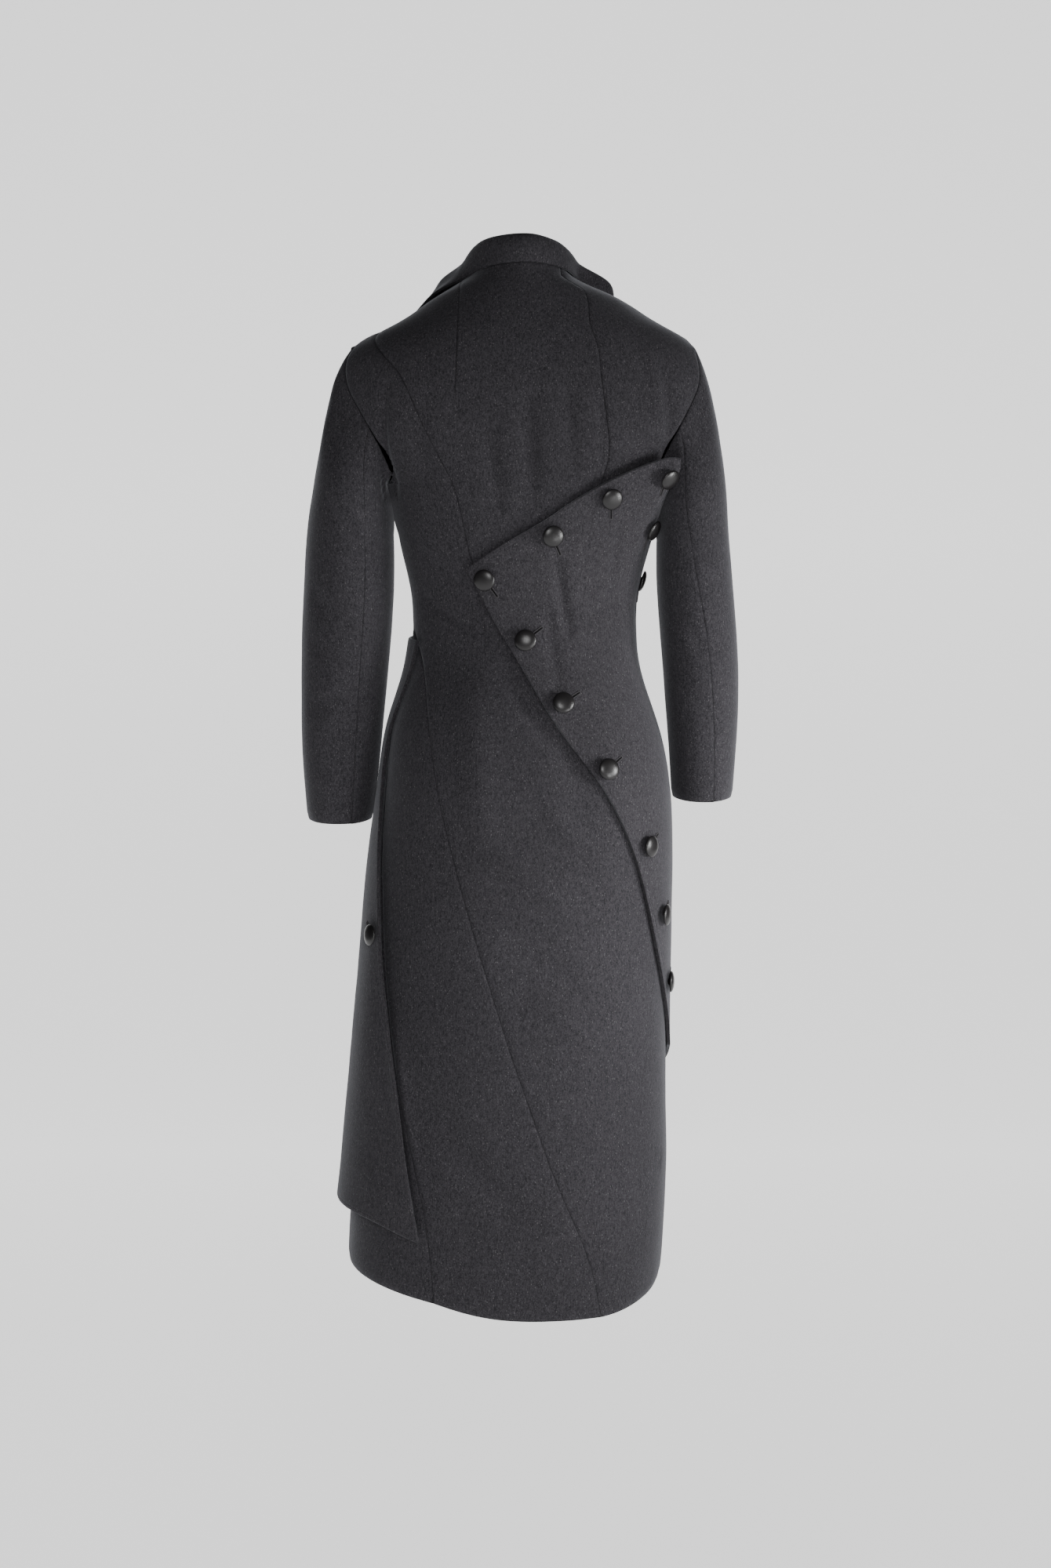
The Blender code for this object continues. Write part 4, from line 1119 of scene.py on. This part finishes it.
for pattern in (lips_pattern, slit_pattern):
    bpy.data.objects.remove(pattern, do_unlink=True)
print("buttonholes:", len(HOLE_TURNS))

# %% [markdown]
# ## Floor, backdrop and light
#
# The coat floats above a plain pale floor that bends up into a backdrop far behind it. A large
# panel beside the camera lights it evenly. A smaller one at the camera's right gives it
# form, and a third, lower one lights the skirt. The world adds a faint light, so that no
# shadow is black, but the camera sees it pale, and the stage looks the same from every side.

# %% Build the stage
FLOOR_LEVEL = -1.75
FLOOR_HALF = 4.0
BEND_START = 3.4
BEND_RADIUS = 1.6
BACKDROP_TOP = 3.6
SKY_LIGHT = 0.03
SKY_SEEN = 1.6
BEND_STEPS = 16
PAPER = 0.85
PAPER_GLOW = 1.15


def white(name, value, glow):
    """Makes a plain white for the stage, which glows softly as a lit screen does."""
    made = bpy.data.materials.new(name)
    made.use_nodes = True
    shader = made.node_tree.nodes["Principled BSDF"]
    shader.inputs["Base Color"].default_value = (value, value, value, 1)
    shader.inputs["Roughness"].default_value = 0.9
    shader.inputs["Emission Color"].default_value = (1, 1, 1, 1)
    shader.inputs["Emission Strength"].default_value = glow
    return made


def sweep_backdrop():
    """Builds the floor and the curved backdrop in one sheet."""
    profile = [(-FLOOR_HALF, FLOOR_LEVEL), (BEND_START, FLOOR_LEVEL)]
    for step in range(1, BEND_STEPS + 1):
        turn = math.pi / 2 * step / BEND_STEPS
        profile.append((BEND_START + BEND_RADIUS * math.sin(turn),
                        FLOOR_LEVEL + BEND_RADIUS * (1 - math.cos(turn))))
    profile.append((BEND_START + BEND_RADIUS, BACKDROP_TOP))
    mesh = bpy.data.meshes.new("backdrop")
    vertices = []
    for y, z in profile:
        vertices += [(-FLOOR_HALF, y, z), (FLOOR_HALF, y, z)]
    faces = [(2 * k, 2 * k + 1, 2 * k + 3, 2 * k + 2) for k in range(len(profile) - 1)]
    mesh.from_pydata(vertices, [], faces)
    mesh.update()
    for face in mesh.polygons:
        face.use_smooth = True
    backdrop = bpy.data.objects.new("backdrop", mesh)
    bpy.context.scene.collection.objects.link(backdrop)
    backdrop.data.materials.append(white("paper white", PAPER, PAPER_GLOW))
    return backdrop


backdrop = sweep_backdrop()
# Each row: name, place, aim, size, spread in degrees, power in watts.
LIGHTS = (
    ("side", (1.25, -0.50, -0.45), (0.05, -0.10, -0.50), 0.40, 75, 3.2),
    ("low key", (0.95, -1.00, -0.85), (0.10, -0.10, -0.80), 0.34, 60, 1.0),
    ("front", (0.20, -3.30, 0.20), (0.0, 0.0, -0.50), 0.80, 120, 18.0),
)
for name, place, aim, size, spread, power in LIGHTS:
    data = bpy.data.lights.new(name, "AREA")
    data.shape = "SQUARE"
    data.size = size
    data.spread = math.radians(spread)
    data.energy = power
    lamp = bpy.data.objects.new(name, data)
    bpy.context.scene.collection.objects.link(lamp)
    lamp.location = place
    direction = Vector(aim) - Vector(place)
    lamp.rotation_euler = direction.to_track_quat("-Z", "Y").to_euler()

world = bpy.data.worlds.new("soft white")
bpy.context.scene.world = world
world.use_nodes = True
sky = world.node_tree.nodes["Background"]
sky.inputs["Color"].default_value = (0.98, 0.99, 1.0, 1)
seen = add(world.node_tree, "ShaderNodeLightPath")
shown = math_node(world.node_tree, "MULTIPLY", seen.outputs["Is Camera Ray"], SKY_SEEN)
strength = math_node(world.node_tree, "ADD", shown, SKY_LIGHT)
world.node_tree.links.new(strength, sky.inputs["Strength"])
print("lights:", len(LIGHTS))
